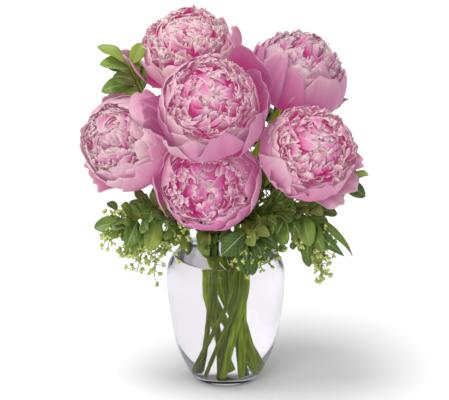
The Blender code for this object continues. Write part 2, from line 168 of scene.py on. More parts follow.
# guard petals: turn around the bloom, tip's angle from the front (degrees), reach in ball radii,
# flare (degrees), half width in metres, waves in ruffle depths
ROUND_GUARDS = [
    (20, 64, 1.08, 6, 0.030, 0.7), (112, 70, 1.08, 10, 0.031, 0.8),
    (198, 66, 1.09, 6, 0.032, 0.7), (290, 66, 1.08, 8, 0.032, 0.8),
]
GUARDS = {
    "top_left": [
        (20, 70, 1.04, 6, 0.030, 0.9), (112, 78, 1.02, 10, 0.031, 1.0), (200, 74, 1.03, 6, 0.030, 0.9),
        (10, 66, 1.22, 4, 0.028, 1.1), (345, 74, 1.22, 12, 0.026, 1.2), (290, 74, 1.06, 4, 0.034, 0.8),
        (212, 76, 1.60, 38, 0.022, 1.8), (236, 80, 1.26, 24, 0.026, 1.2), (168, 82, 1.12, 16, 0.028, 1.2),
        (70, 86, 1.12, 12, 0.034, 1.2), (120, 86, 1.12, 12, 0.034, 1.2), (320, 78, 1.10, 4, 0.032, 0.9),
    ],
    "top_right": [
        *ROUND_GUARDS,
        (270, 58, 1.12, 2, 0.036, 0.5), (225, 62, 1.15, 4, 0.034, 0.6), (330, 68, 1.14, 6, 0.034, 0.7),
        (180, 70, 1.26, 16, 0.026, 1.2), (160, 58, 1.30, 14, 0.018, 1.2),
        (285, 104, 1.34, 26, 0.032, 0.9), (20, 84, 1.20, 20, 0.030, 1.1), (95, 80, 1.16, 14, 0.034, 1.0),
    ],
    "centre": [
        (100, 84, 1.00, 2, 0.034, 0.9), (145, 86, 1.00, 4, 0.034, 0.9),
        (186, 80, 1.58, 44, 0.021, 2.4), (206, 74, 1.52, 36, 0.020, 2.4), (232, 68, 1.42, 24, 0.022, 1.6),
        (205, 72, 1.14, 10, 0.030, 0.9), (254, 62, 1.24, 12, 0.026, 1.4), (286, 54, 1.18, 8, 0.030, 1.2),
        (328, 60, 1.27, 12, 0.030, 1.2), (355, 72, 1.32, 16, 0.030, 1.0), (310, 70, 1.10, 6, 0.034, 0.8),
        (18, 74, 1.30, 12, 0.030, 0.8), (45, 68, 1.42, 4, 0.030, 0.6),
    ],
    "left": [
        *ROUND_GUARDS,
        (52, 52, 1.12, 0, 0.036, 0.5), (60, 66, 1.34, 18, 0.022, 1.2), (190, 74, 1.18, 8, 0.034, 0.7),
        (222, 100, 1.46, 44, 0.024, 1.5), (246, 96, 1.40, 40, 0.022, 1.4),
        (262, 68, 1.06, 4, 0.034, 0.7), (318, 64, 1.12, 2, 0.036, 0.5),
        (125, 78, 1.16, 14, 0.030, 1.0), (5, 70, 1.16, 6, 0.034, 0.7),
    ],
    "low": [
        (80, 84, 1.02, 2, 0.034, 0.9), (120, 84, 1.02, 4, 0.034, 0.9),
        (170, 94, 1.52, 48, 0.028, 1.2), (196, 68, 1.20, 6, 0.034, 0.8),
        (222, 66, 1.02, 2, 0.030, 0.8), (238, 60, 1.05, 2, 0.030, 0.8),
        (270, 56, 1.00, -6, 0.036, 0.6), (312, 60, 1.06, -2, 0.034, 0.7),
        (350, 66, 1.16, 4, 0.034, 0.7), (20, 72, 1.10, 4, 0.032, 0.7), (46, 74, 1.14, 6, 0.032, 0.8),
        (150, 74, 1.12, 8, 0.032, 0.8), (244, 118, 1.25, 56, 0.019, 1.2),
    ],
    "right": [
        (20, 84, 1.02, 6, 0.034, 0.9), (120, 86, 1.00, 4, 0.034, 0.9), (180, 72, 1.02, 2, 0.034, 0.6),
        (205, 62, 1.02, 2, 0.028, 0.8), (212, 84, 1.38, 44, 0.021, 1.8), (240, 74, 1.28, 46, 0.020, 2.0),
        (268, 62, 1.12, 10, 0.028, 0.9), (300, 60, 1.06, 6, 0.032, 0.8), (332, 64, 1.06, 6, 0.030, 0.9),
        (292, 104, 1.50, 44, 0.024, 1.6), (318, 100, 1.52, 44, 0.022, 1.6),
        (342, 98, 1.42, 36, 0.020, 1.4),
        (5, 80, 1.14, 14, 0.030, 1.0),
        (70, 90, 1.06, 10, 0.034, 1.0), (140, 90, 1.06, 10, 0.034, 1.0),
    ],
}

# slot and ring: its place in the neck; route: points of its line above the neck
# leaves: where on the sprig (0 neck, 1 tip), heading and climb in degrees, length, width
# fill: how many more leaves, then the ranges of place, heading, climb, length and stalk they are
# drawn from
# seeds: the hanging clusters, by place, heading, climb and length
SPRIGS = [
    {
        "name": "upper_left_leaves", "slot": 216, "ring": "inner", "finish": "leaf_light",
        "route": [(-0.018, -0.0125, 0.184), (-0.034, -0.002, 0.212), (-0.066, 0.014, 0.262),
                  (-0.086, 0.022, 0.308), (-0.101, 0.014, 0.342)],
        "leaves": [
            (1.00, 172, 26, 0.038, 0.019), (0.93, 200, 25, 0.042, 0.022),
            (0.90, 112, 30, 0.034, 0.018), (0.86, 192, -4, 0.040, 0.019),
            (0.78, 110, 5, 0.036, 0.020), (0.72, 130, 10, 0.044, 0.022),
            (0.58, 115, 0, 0.040, 0.020),
            (0.98, 40, 55, 0.030, 0.016), (0.80, 100, 60, 0.034, 0.020), (0.86, 215, 30, 0.038, 0.020),
        ],
        "fill": [(9, (0.62, 0.95), (80, 230), (-5, 65), (0.026, 0.034), (0.004, 0.010)),
                 (22, (0.20, 0.70), (60, 300), (-20, 50), (0.026, 0.036), (0.004, 0.014))],
        "seeds": [],
    },
    {
        "name": "lower_left_eucalyptus", "slot": 234, "ring": "outer", "finish": "leaf_grey_green",
        "route": [(-0.030, -0.024, 0.178), (-0.066, -0.028, 0.190), (-0.104, -0.026, 0.184)],
        "leaves": [
            (1.00, 190, -10, 0.034, 0.017), (0.88, 245, -25, 0.038, 0.020),
            (0.84, 130, 5, 0.036, 0.018), (0.70, 250, -40, 0.040, 0.020),
            (0.62, 120, 10, 0.036, 0.018), (0.56, 225, 15, 0.036, 0.018),
        ],
        "fill": [(40, (0.40, 1.00), (120, 300), (-60, 30), (0.018, 0.026), (0.004, 0.022)),
                 (34, (0.25, 0.90), (110, 260), (10, 70), (0.018, 0.028), (0.004, 0.022)),
                 (16, (0.10, 0.50), (110, 260), (20, 75), (0.024, 0.034), (0.004, 0.012)),
                 (12, (0.00, 0.20), (225, 320), (-75, -10), (0.020, 0.030), (0.003, 0.010))],
        "seeds": [
            (0.98, 190, -30, 0.030), (0.94, 215, -70, 0.034), (0.90, 180, 5, 0.026),
            (0.84, 240, -60, 0.034), (0.78, 200, -80, 0.050), (0.72, 230, -85, 0.056),
            (0.60, 225, -80, 0.030), (0.50, 250, -50, 0.026),
        ],
    },
    {
        "name": "lower_right_eucalyptus", "slot": 342, "ring": "outer", "finish": "leaf_grey_green",
        "route": [(0.040, -0.020, 0.190), (0.074, -0.026, 0.196), (0.100, -0.028, 0.180)],
        "leaves": [
            (0.86, 350, -36, 0.054, 0.012), (0.86, 300, -45, 0.036, 0.018),
            (0.80, 60, -10, 0.036, 0.018), (0.72, 290, -45, 0.036, 0.020),
            (0.60, 70, -5, 0.036, 0.020), (0.48, 290, -50, 0.036, 0.022),
            (0.52, 348, -34, 0.078, 0.019), (0.80, 285, -60, 0.046, 0.018),
            (0.92, 275, -82, 0.044, 0.016),
        ],
        "fill": [(22, (0.20, 0.80), (240, 370), (-50, 10), (0.018, 0.028), (0.004, 0.018)),
                 (34, (0.10, 0.80), (-70, 80), (5, 60), (0.020, 0.030), (0.004, 0.020)),
                 (12, (0.10, 0.45), (250, 380), (-60, 20), (0.028, 0.038), (0.004, 0.010)),
                 (12, (0.00, 0.15), (150, 280), (15, 75), (0.022, 0.032), (0.003, 0.010)),
                 (1, (0.77, 0.79), (298, 302), (-86, -83), (0.024, 0.025), (0.033, 0.035)),
                 (5, (0.42, 0.62), (290, 350), (-85, -60), (0.010, 0.014), (0.024, 0.038))],
        "seeds": [
            (0.94, 330, -80, 0.040), (0.88, 350, -60, 0.034), (0.82, 0, -40, 0.036),
            (0.66, 320, -78, 0.034), (0.98, 300, -84, 0.050), (0.74, 300, -70, 0.030),
            (0.40, 290, -75, 0.040), (0.30, 280, -80, 0.044),
        ],
    },
    {
        "name": "right_leaves", "slot": 0, "ring": "inner", "finish": "leaf_dark",
        "route": [(0.030, -0.001, 0.192), (0.085, 0.018, 0.210), (0.122, 0.008, 0.216)],
        "leaves": [
            (1.00, 340, 20, 0.032, 0.017), (0.90, 60, 10, 0.034, 0.018),
            (0.84, 300, -15, 0.032, 0.017), (0.72, 80, 15, 0.036, 0.019),
            (0.56, 90, 0, 0.036, 0.019),
            (0.98, 350, -25, 0.030, 0.016), (0.94, 20, 45, 0.030, 0.016), (0.99, 320, 5, 0.024, 0.013),
        ],
        "fill": [(26, (0.20, 0.85), (-60, 110), (-30, 50), (0.022, 0.032), (0.004, 0.014)),
                 (26, (0.02, 0.45), (80, 280), (20, 80), (0.028, 0.040), (0.004, 0.020))],
        "seeds": [],
    },
    {
        "name": "front_leaves", "slot": 306, "ring": "outer", "finish": "leaf_dark",
        "route": [(0.020, -0.034, 0.181), (0.024, -0.050, 0.181)],
        "leaves": [
            (1.00, 268, -75, 0.044, 0.018), (0.88, 200, -40, 0.036, 0.022),
            (0.76, 330, -50, 0.036, 0.018),
            (0.60, 280, -60, 0.050, 0.024), (0.50, 255, -70, 0.044, 0.020),
            (0.95, 230, -65, 0.034, 0.017),
        ],
        "fill": [(20, (0.10, 1.00), (200, 350), (-80, 10), (0.022, 0.034), (0.004, 0.016))],
        "seeds": [(0.90, 300, -75, 0.034), (0.80, 330, -60, 0.036), (0.70, 240, -70, 0.030)],
    },
    {
        "name": "back_left_leaves", "slot": 108, "ring": "inner", "finish": "leaf_dark",
        "route": [(-0.0067, 0.0215, 0.184), (-0.014, 0.050, 0.225), (-0.040, 0.072, 0.270),
                  (-0.052, 0.080, 0.305)],
        "leaves": [
            (1.00, 100, 60, 0.044, 0.024), (0.90, 180, 20, 0.044, 0.024),
            (0.86, 20, 20, 0.042, 0.022), (0.74, 190, 0, 0.046, 0.024),
            (0.66, 60, 5, 0.044, 0.024), (0.52, 190, -15, 0.044, 0.024),
            (0.40, 110, -15, 0.042, 0.022),
        ],
        "fill": [(46, (0.10, 0.95), (20, 250), (-40, 60), (0.028, 0.038), (0.004, 0.014))],
        "seeds": [],
    },
    {
        "name": "back_right_leaves", "slot": 72, "ring": "inner", "finish": "leaf_dark",
        "route": [(0.020, 0.054, 0.215), (0.042, 0.080, 0.245), (0.064, 0.092, 0.270)],
        "leaves": [
            (1.00, 60, 55, 0.044, 0.024), (0.90, 0, 15, 0.044, 0.024),
            (0.86, 140, 25, 0.042, 0.022), (0.72, 350, -5, 0.046, 0.024),
            (0.64, 120, 5, 0.044, 0.024), (0.50, 10, -20, 0.044, 0.024),
            (0.38, 90, -15, 0.042, 0.022),
        ],
        "fill": [(46, (0.10, 0.95), (-70, 170), (-40, 60), (0.028, 0.038), (0.004, 0.014))],
        "seeds": [],
    },
]


# ------------------------------------------------------------------ settings a user may change
def colour_setting(name, description, default):
    """Setting for a colour with three channels from 0 to 1."""
    return FloatVectorProperty(name=name, description=description, subtype="COLOR",
                               size=3, min=0.0, max=1.0, default=default)


class VaseSettings(bpy.types.PropertyGroup):
    """Glass and water"""
    glass_tint: colour_setting(
        "Glass tint", "Faint colour of the glass", (0.92, 0.905, 0.925))
    water_level: FloatProperty(
        name="Water level", description="Height of the water above the table",
        default=WATER_LEVEL, min=0.05, max=0.14, unit="LENGTH", subtype="DISTANCE")
    segments: IntProperty(
        name="Segments", description="Steps around the turned glass", default=128, min=32, max=256)


class PeonySettings(bpy.types.PropertyGroup):
    """Petals of all six peonies"""
    pale_colour: colour_setting(
        "Pale pink", "Colour at the edges of the petals", (0.83, 0.61, 0.64))
    middle_colour: colour_setting(
        "Middle pink", "Colour of the broad part of the petals", (0.66, 0.24, 0.42))
    deep_colour: colour_setting(
        "Deep pink", "Colour at the base of the petals", (0.50, 0.020, 0.14))
    wrap_petals: IntProperty(
        name="Wrapping petals", description="Large petals that close the ball", default=15, min=6, max=30)
    centre_petals: IntProperty(
        name="Centre petals", description="Small ruffled petals in the ball",
        default=195, min=20, max=260)
    ruffle: FloatProperty(
        name="Ruffle", description="Depth of the waves along the petal edges",
        default=0.0016, min=0.0, max=0.006, unit="LENGTH", subtype="DISTANCE")


class FoliageSettings(bpy.types.PropertyGroup):
    """Greens of the stems, leaves and seeds"""
    stem_colour: colour_setting(
        "Stem green", "Colour of the peony stems", (0.29, 0.41, 0.016))
    light_leaf: colour_setting(
        "Light leaf", "Colour of the young oval leaves", (0.165, 0.260, 0.040))
    dark_leaf: colour_setting(
        "Dark leaf", "Colour of the older leaves", (0.060, 0.120, 0.018))
    seed_colour: colour_setting(
        "Seeds", "Colour of the eucalyptus seeds", (0.60, 0.66, 0.20))


class StageSettings(bpy.types.PropertyGroup):
    """Camera, lamps and floor"""
    camera_rise: FloatProperty(
        name="Camera rise", description="Angle of the camera above the table",
        default=math.radians(18.5), min=0.0, max=1.2, unit="ROTATION", subtype="ANGLE")
    camera_distance: FloatProperty(
        name="Camera distance", description="From the camera to the middle of the bouquet",
        default=2.6, min=0.8, max=6.0, unit="LENGTH", subtype="DISTANCE")
    key_direction: FloatVectorProperty(
        name="Key direction", description="Way the key light travels", subtype="DIRECTION",
        size=3, default=(0.22, 0.07, -0.973))
    key_strength: FloatProperty(
        name="Key strength", description="Strength of the even key light",
        default=1.80, min=0.0, max=10.0)
    key_softness: FloatProperty(
        name="Key softness", description="Angle the key light fills",
        default=math.radians(29), min=0.0, max=math.pi, unit="ROTATION", subtype="ANGLE")
    fill_power: FloatProperty(
        name="Fill power", description="Power of the soft front lamp in watts",
        default=21.0, min=0.0, max=400.0)
    floor_colour: colour_setting(
        "Floor colour", "Colour of the plain floor", (0.90, 0.90, 0.91))


# ------------------------------------------------------------------ mesh helpers
def grid_quads(rows, columns, start=0, around=False):
    """Quads of a rows x columns grid of points, as an array of four indices each.

    Point (r, c) has index start + r * columns + c; with around the last column meets the first.
    """
    spans = columns if around else columns - 1
    r, c = np.meshgrid(np.arange(rows - 1), np.arange(spans), indexing="ij")
    after = (c + 1) % columns
    quads = np.stack([r * columns + c, r * columns + after,
                      (r + 1) * columns + after, (r + 1) * columns + c], axis=-1)
    return quads.reshape(-1, 4) + start


class Sheaf:
    """Collects grids of points with their texture places and tones, then makes one mesh of them."""

    def __init__(self):
        self.points = []
        self.places = []
        self.tones = []
        self.quads = []
        self.count = 0

    def add(self, points, tone=0.5, places=None, around=False):
        """A grid of points (rows, columns, 3); its tone; its places (rows, columns, 2), or even ones."""
        rows, columns = points.shape[:2]
        places = even_places(rows, columns) if places is None else places
        self.quads.append(grid_quads(rows, columns, self.count, around))
        self.points.append(points.reshape(-1, 3))
        self.places.append(places.reshape(-1, 2))
        self.tones.append(np.full(rows * columns, float(tone)))
        self.count += rows * columns

    def build(self, name, material):
        """One smooth mesh object with the texture places and the tones stored on it."""
        points = np.concatenate(self.points)
        places = np.concatenate(self.places)
        quads = np.concatenate(self.quads)
        mesh = bpy.data.meshes.new(name)
        mesh.vertices.add(len(points))
        mesh.vertices.foreach_set("co", points.astype(np.float32).ravel())
        mesh.loops.add(quads.size)
        mesh.loops.foreach_set("vertex_index", quads.astype(np.int32).ravel())
        mesh.polygons.add(len(quads))
        mesh.polygons.foreach_set("loop_start", np.arange(0, quads.size, 4, dtype=np.int32))
        mesh.update(calc_edges=True)
        layer = mesh.uv_layers.new(name="place")
        layer.data.foreach_set("uv", places[quads.ravel()].astype(np.float32).ravel())
        tone = mesh.attributes.new("tone", "FLOAT", "POINT")
        tone.data.foreach_set("value", np.concatenate(self.tones).astype(np.float32))
        mesh.validate()
        mesh.shade_smooth()
        mesh.materials.append(material)
        obj = bpy.data.objects.new(name, mesh)
        bpy.context.scene.collection.objects.link(obj)
        return obj


def even_places(rows, columns):
    """Texture places: first number across the grid, second along it, both 0 to 1."""
    along, across = np.meshgrid(np.linspace(0, 1, rows), np.linspace(0, 1, columns), indexing="ij")
    return np.stack([across, along], axis=-1)


def merge_close(obj, distance):
    """Weld points closer than the distance, such as the ring at a pole."""
    weld = obj.modifiers.new("weld", "WELD")
    weld.merge_threshold = distance


def thicken(obj, thickness):
    """Give a sheet its thickness, half to each side."""
    solidify = obj.modifiers.new("thickness", "SOLIDIFY")
    solidify.thickness = thickness
    solidify.offset = 0.0


def smooth_line(points, steps):
    """Catmull-Rom curve through the points: each span is the cubic that keeps the chord slope."""
    pts = np.array(points, float)
    pts = np.vstack([2 * pts[0] - pts[1], pts, 2 * pts[-1] - pts[-2]])
    t = np.linspace(0, 1, steps, endpoint=False)[None, :, None]
    a, b, c, d = (pts[k:len(pts) - 3 + k, None, :] for k in range(4))
    spans = 0.5 * (2 * b + (c - a) * t + (2 * a - 5 * b + 4 * c - d) * t ** 2
                   + (3 * b - a - 3 * c + d) * t ** 3)
    return np.vstack([spans.reshape(-1, pts.shape[1]), pts[-2]])


def resample(points, count):
    """The same line with equal steps of length between its points."""
    steps = np.linalg.norm(np.diff(points, axis=0), axis=1)
    length = np.concatenate([[0], np.cumsum(steps)])
    wanted = np.linspace(0, length[-1], count)
    return np.stack([np.interp(wanted, length, points[:, k]) for k in range(points.shape[1])], axis=-1)


def unit(vectors):
    """The same directions with a length of one."""
    return vectors / np.maximum(np.linalg.norm(vectors, axis=-1, keepdims=True), 1e-12)


def line_frames(points):
    """Two unit vectors across the line at each point, turned as little as possible along it."""
    ahead = unit(np.gradient(points, axis=0))
    side = np.zeros_like(points)
    guess = np.array([1.0, 0.0, 0.0]) if abs(ahead[0][0]) < 0.9 else np.array([0.0, 1.0, 0.0])
    for k, way in enumerate(ahead):
        guess = unit(guess - way * np.dot(guess, way))
        side[k] = guess
    return side, np.cross(ahead, side)


def tube_grid(points, radii, sides):
    """Tube: a circle of radius radii[k] carried along the line; its ends close to a point."""
    side, up = line_frames(points)
    turn = np.linspace(0, 2 * np.pi, sides, endpoint=False)
    radii = np.asarray(radii)[:, None, None]
    ring = side[:, None] * np.cos(turn)[None, :, None] + up[:, None] * np.sin(turn)[None, :, None]
    body = points[:, None] + ring * radii
    first = np.repeat(points[:1, None], sides, axis=1)
    last = np.repeat(points[-1:, None], sides, axis=1)
    return np.concatenate([first, body, last])


def turned_grid(outline, segments):
    """Outline (radius, height) carried around the Z axis."""
    turn = np.linspace(0, 2 * np.pi, segments, endpoint=False)[None, :]
    radius = outline[:, :1]
    return np.stack([radius * np.cos(turn), radius * np.sin(turn),
                     np.broadcast_to(outline[:, 1:], (len(outline), segments))], axis=-1)


# ------------------------------------------------------------------ material helpers
def new_material(name):
    """A material with its nodes, links and Principled shader."""
    material = bpy.data.materials.new(name)
    material.use_nodes = True
    nodes = material.node_tree.nodes
    return material, nodes, material.node_tree.links, nodes["Principled BSDF"]


def set_ramp(node, stops):
    """Give a colour ramp these (position, colour) stops."""
    elements = node.color_ramp.elements
    while len(elements) < len(stops):
        elements.new(0.5)
    for element, (position, colour) in zip(elements, stops):
        element.position = position
        element.color = (*colour, 1.0)


def blend(first, second, share):
    """The colour that lies this share of the way from the first to the second."""
    return tuple(a + (b - a) * share for a, b in zip(first, second))


def feed(links, socket, value):
    """Link another socket into this one, or set it to a plain value."""
    if isinstance(value, bpy.types.NodeSocket):
        links.new(value, socket)
    else:
        socket.default_value = value


def set_inputs(node, values):
    """Set the named sockets of a node to plain values."""
    for name, value in values.items():
        node.inputs[name].default_value = value


def calculate(nodes, links, operation, *values):
    """Math node on sockets or plain numbers; gives back its output."""
    node = nodes.new("ShaderNodeMath")
    node.operation = operation
    for socket, value in zip(node.inputs, values):
        feed(links, socket, value)
    return node.outputs[0]


def noise(nodes, links, vector, scale, detail=2.0):
    """Noise texture over the coordinates; gives back its grey output."""
    node = nodes.new("ShaderNodeTexNoise")
    node.inputs["Scale"].default_value = scale
    node.inputs["Detail"].default_value = detail
    links.new(vector, node.inputs["Vector"])
    return node.outputs["Fac"]


def colours(nodes, links, value, stops):
    """Colour ramp read at the value; gives back its colour output."""
    node = nodes.new("ShaderNodeValToRGB")
    set_ramp(node, stops)
    links.new(value, node.inputs["Fac"])
    return node.outputs["Color"]


def relief(nodes, links, shader, height, strength, distance, invert=False):
    """Bump that the height gives to the shader's normal."""
    node = nodes.new("ShaderNodeBump")
    node.inputs["Strength"].default_value = strength
    node.inputs["Distance"].default_value = distance
    node.invert = invert
    links.new(height, node.inputs["Height"])
    links.new(node.outputs["Normal"], shader.inputs["Normal"])


def object_place(nodes):
    """Coordinates of the piece in the shared frame."""
    return nodes.new("ShaderNodeTexCoord").outputs["Object"]


def own_place(nodes):
    """The piece's own texture places: across and along each petal, leaf or stem."""
    node = nodes.new("ShaderNodeUVMap")
    node.uv_map = "place"
    return node.outputs["UV"]


def own_tone(nodes):
    """Node that reads the tone stored for each petal, leaf or stem."""
    node = nodes.new("ShaderNodeAttribute")
    node.attribute_name = "tone"
    return node


def stretched(nodes, links, vector, scale):
    """The coordinates scaled along each axis."""
    node = nodes.new("ShaderNodeMapping")
    node.inputs["Scale"].default_value = scale
    links.new(vector, node.inputs["Vector"])
    return node.outputs["Vector"]


def petal_material(name, settings, look, shade):
    """Deep pink at the base, pale at the edge, with fine lengthwise veins and a soft satin surface; the
    deep base also paints shade in the hollows between petals.

    A faint magenta glow near the base stands for the light that passes through the thin petals.
    """
    material, nodes, links, shader = new_material(name)
    pale = blend(settings.pale_colour, CREAM, look.paler)
    deep = blend(settings.deep_colour, CRIMSON, look.deeper)
    middle = blend(blend(settings.middle_colour, pale, 0.35 * look.paler), MAGENTA, look.deeper)
    pale, middle, deep = (tuple(channel * shade for channel in colour) for colour in (pale, middle, deep))
    place = own_place(nodes)
    split = nodes.new("ShaderNodeSeparateXYZ")
    links.new(place, split.inputs[0])
    tone = own_tone(nodes)
    shift = nodes.new("ShaderNodeVectorMath")
    shift.operation = "ADD"
    links.new(stretched(nodes, links, place, (26.0, 1.6, 1.0)), shift.inputs[0])
    links.new(tone.outputs["Vector"], shift.inputs[1])
    veins = noise(nodes, links, shift.outputs[0], 1.0, 4.0)
    sway = calculate(nodes, links, "MULTIPLY_ADD", veins, 0.22, split.outputs["Y"])
    mood = calculate(nodes, links, "MULTIPLY_ADD", tone.outputs["Fac"], 0.34, sway)
    height = calculate(nodes, links, "MULTIPLY", mood, 0.74)
    # deep at the base, pale at the edge: the petal's own colour, and painted shade in the hollows between
    # petals
    stops = [(0.28, deep), (0.50, blend(deep, middle, 0.65)), (0.72, middle), (0.98, pale)]
    links.new(colours(nodes, links, height, stops), shader.inputs["Base Color"])
    glow = [(0.25, (0.98 * shade, 0.05, 0.36)), (0.60, (0.58 * shade, 0.12, 0.28)),
            (0.98, (0.44 * shade, 0.24, 0.27))]
    links.new(colours(nodes, links, height, glow), shader.inputs["Emission Color"])
    relief(nodes, links, shader, veins, 0.25, 0.0006)
    set_inputs(shader, {
        "Emission Strength": 0.32, "Roughness": 0.52, "Specular IOR Level": 0.20, "Sheen Weight": 0.10,
        "Subsurface Weight": 0.22, "Subsurface Radius": (0.004, 0.0016, 0.002)})
    return material


def stem_material(name, colour, glow):
    """Green stem with lengthwise streaks, browner patches and a glow for the light the water gathers."""
    material, nodes, links, shader = new_material(name)
    streaks = noise(nodes, links, stretched(nodes, links, own_place(nodes), (9.0, 14.0, 1.0)), 1.0, 5.0)
    brown = blend(colour, (0.13, 0.08, 0.025), 0.75)
    shaded = blend(colour, (0.03, 0.08, 0.01), 0.4)
    light = blend(colour, (0.50, 0.60, 0.05), 0.6)
    skin = colours(nodes, links, streaks, [(0.28, brown), (0.45, shaded), (0.56, colour), (0.74, light)])
    links.new(skin, shader.inputs["Base Color"])
    links.new(skin, shader.inputs["Emission Color"])
    relief(nodes, links, shader, streaks, 0.3, 0.0005)
    set_inputs(shader, {
        "Emission Strength": glow, "Roughness": 0.42, "Specular IOR Level": 0.12,
        "Subsurface Weight": 0.08, "Subsurface Radius": GREEN_SCATTER})
    return material


def rescaled(nodes, links, value, limits):
    """The value moved from one range to another; limits that are not named are 0 and 1."""
    node = nodes.new("ShaderNodeMapRange")
    set_inputs(node, limits)
    links.new(value, node.inputs["Value"])
    return node.outputs["Result"]


def leaf_material(name, colour):
    """Leaf with a pale midrib, side veins that slant towards the tip and mottled green between them."""
    material, nodes, links, shader = new_material(name)
    split = nodes.new("ShaderNodeSeparateXYZ")
    links.new(own_place(nodes), split.inputs[0])
    off_centre = calculate(nodes, links, "SUBTRACT", split.outputs["X"], 0.5)
    off_rib = calculate(nodes, links, "ABSOLUTE", off_centre)
    slant = calculate(nodes, links, "MULTIPLY_ADD", off_rib, -0.55, split.outputs["Y"])
    crest = calculate(nodes, links, "SINE", calculate(nodes, links, "MULTIPLY", slant, 46.0))
    side_veins = rescaled(nodes, links, crest, {"From Min": 0.80, "To Max": 0.28})
    rib = rescaled(nodes, links, off_rib, {"From Min": 0.045, "From Max": 0.015})
    veins = calculate(nodes, links, "MAXIMUM", side_veins, rib)
    mottle = noise(nodes, links, object_place(nodes), 85.0, 3.0)
    mood = calculate(nodes, links, "ADD", mottle, own_tone(nodes).outputs["Fac"])
    skin = colours(nodes, links, calculate(nodes, links, "MULTIPLY", mood, 0.5), [
        (0.22, blend(colour, (0.01, 0.03, 0.01), 0.45)), (0.5, colour),
        (0.78, blend(colour, (0.40, 0.50, 0.08), 0.55))])
    veined = nodes.new("ShaderNodeMix")
    veined.data_type = "RGBA"
    links.new(veins, veined.inputs["Factor"])
    links.new(skin, veined.inputs["A"])
    veined.inputs["B"].default_value = (*blend(colour, (0.45, 0.55, 0.22), 0.6), 1.0)
    links.new(veined.outputs["Result"], shader.inputs["Base Color"])
    relief(nodes, links, shader, veins, 0.35, 0.0004, invert=True)
    set_inputs(shader, {
        "Roughness": 0.40, "Specular IOR Level": 0.45,
        "Subsurface Weight": 0.06, "Subsurface Radius": GREEN_SCATTER})
    return material


def seed_material(name, colour):
    """Small yellow-green seeds with darker and paler spots."""
    material, nodes, links, shader = new_material(name)
    spots = noise(nodes, links, object_place(nodes), 260.0)
    skin = colours(nodes, links, spots, [
        (0.32, blend(colour, (0.10, 0.16, 0.03), 0.7)), (0.55, colour),
        (0.72, blend(colour, (0.75, 0.78, 0.40), 0.6))])
    links.new(skin, shader.inputs["Base Color"])
    shader.inputs["Roughness"].default_value = 0.45
    return material


def glass_material(name, tint):
    """Clear glass with a faint, uneven polish, darker grey-blue where it is seen edge on: a painted dark
    reflection that outlines its edges.
    """
    material, nodes, links, shader = new_material(name)
    facing = nodes.new("ShaderNodeLayerWeight")
    facing.inputs["Blend"].default_value = 0.5
    # painted reflection: the colour darkens to grey-blue and near black where the glass is seen edge on
    edge = [(0.52, tint), (0.80, blend(tint, (0.42, 0.52, 0.58), 0.5)), (0.94, (0.18, 0.24, 0.28))]
    links.new(colours(nodes, links, facing.outputs["Facing"], edge), shader.inputs["Base Color"])
    set_inputs(shader, {"Transmission Weight": 1.0, "IOR": 1.38, "Specular Tint": DIM_REFLECTION})
    ripple = noise(nodes, links, object_place(nodes), 22.0, 1.0)
    haze = rescaled(nodes, links, ripple, {"To Max": 0.004})
    links.new(haze, shader.inputs["Roughness"])
    relief(nodes, links, shader, ripple, 0.012, 0.001)
    return material


def water_material(name):
    """Clear still water."""
    material, nodes, links, shader = new_material(name)
    set_inputs(shader, {
        "Base Color": (0.985, 0.98, 0.99, 1.0), "Roughness": 0.0,
        "Transmission Weight": 1.0, "IOR": 1.333, "Specular Tint": DIM_REFLECTION})
    relief(nodes, links, shader, noise(nodes, links, object_place(nodes), 30.0), 0.01, 0.001)
    return material


# ------------------------------------------------------------------ the stems' lattice
def spread_at(height):
    """Sideways move of a stem along its tangent line: straight below the waist, easing off above."""
    rise = np.asarray(height) - WAIST_HEIGHT
    return np.where(rise < 0, LEAN * rise, LEAN * UPPER_REACH * np.tanh(rise / UPPER_REACH))


def lattice_line(ring, slot, low, high, count):
    """Centre line of a stem in the vase: it touches the waist circle and slides along its tangent."""
    waist = OUTER_WAIST if ring == "outer" else INNER_WAIST
    share = 1.0 if ring == "outer" else INNER_SPREAD
    heading = math.radians(slot) - math.atan2(share * float(spread_at(NECK_EXIT)), waist)
    height = np.linspace(low, high, count)
    move = share * spread_at(height)
    return np.stack([waist * math.cos(heading) - move * math.sin(heading),
                     waist * math.sin(heading) + move * math.cos(heading), height], axis=-1)


def hermite(start, start_pull, end, end_pull, count):
    """Cubic between two points that leaves and arrives along the pulls."""
    t = np.linspace(0, 1, count)[1:, None]
    return (start * (2 * t ** 3 - 3 * t ** 2 + 1) + start_pull * (t ** 3 - 2 * t ** 2 + t)
            + end * (3 * t ** 2 - 2 * t ** 3) + end_pull * (t ** 3 - t ** 2))


# ------------------------------------------------------------------ blooms
def bloom_frame(bloom):
    """Centre of the bloom and a matrix whose rows are across, up and the way it faces."""
    low, high = (np.array(corner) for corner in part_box(f"peony_{bloom.name}_heart"))
    face = Vector(bloom.face).normalized()
    across = Vector((0, 0, 1)).cross(face).normalized()
    return (low + high) / 2, np.array([across, face.cross(across), face])


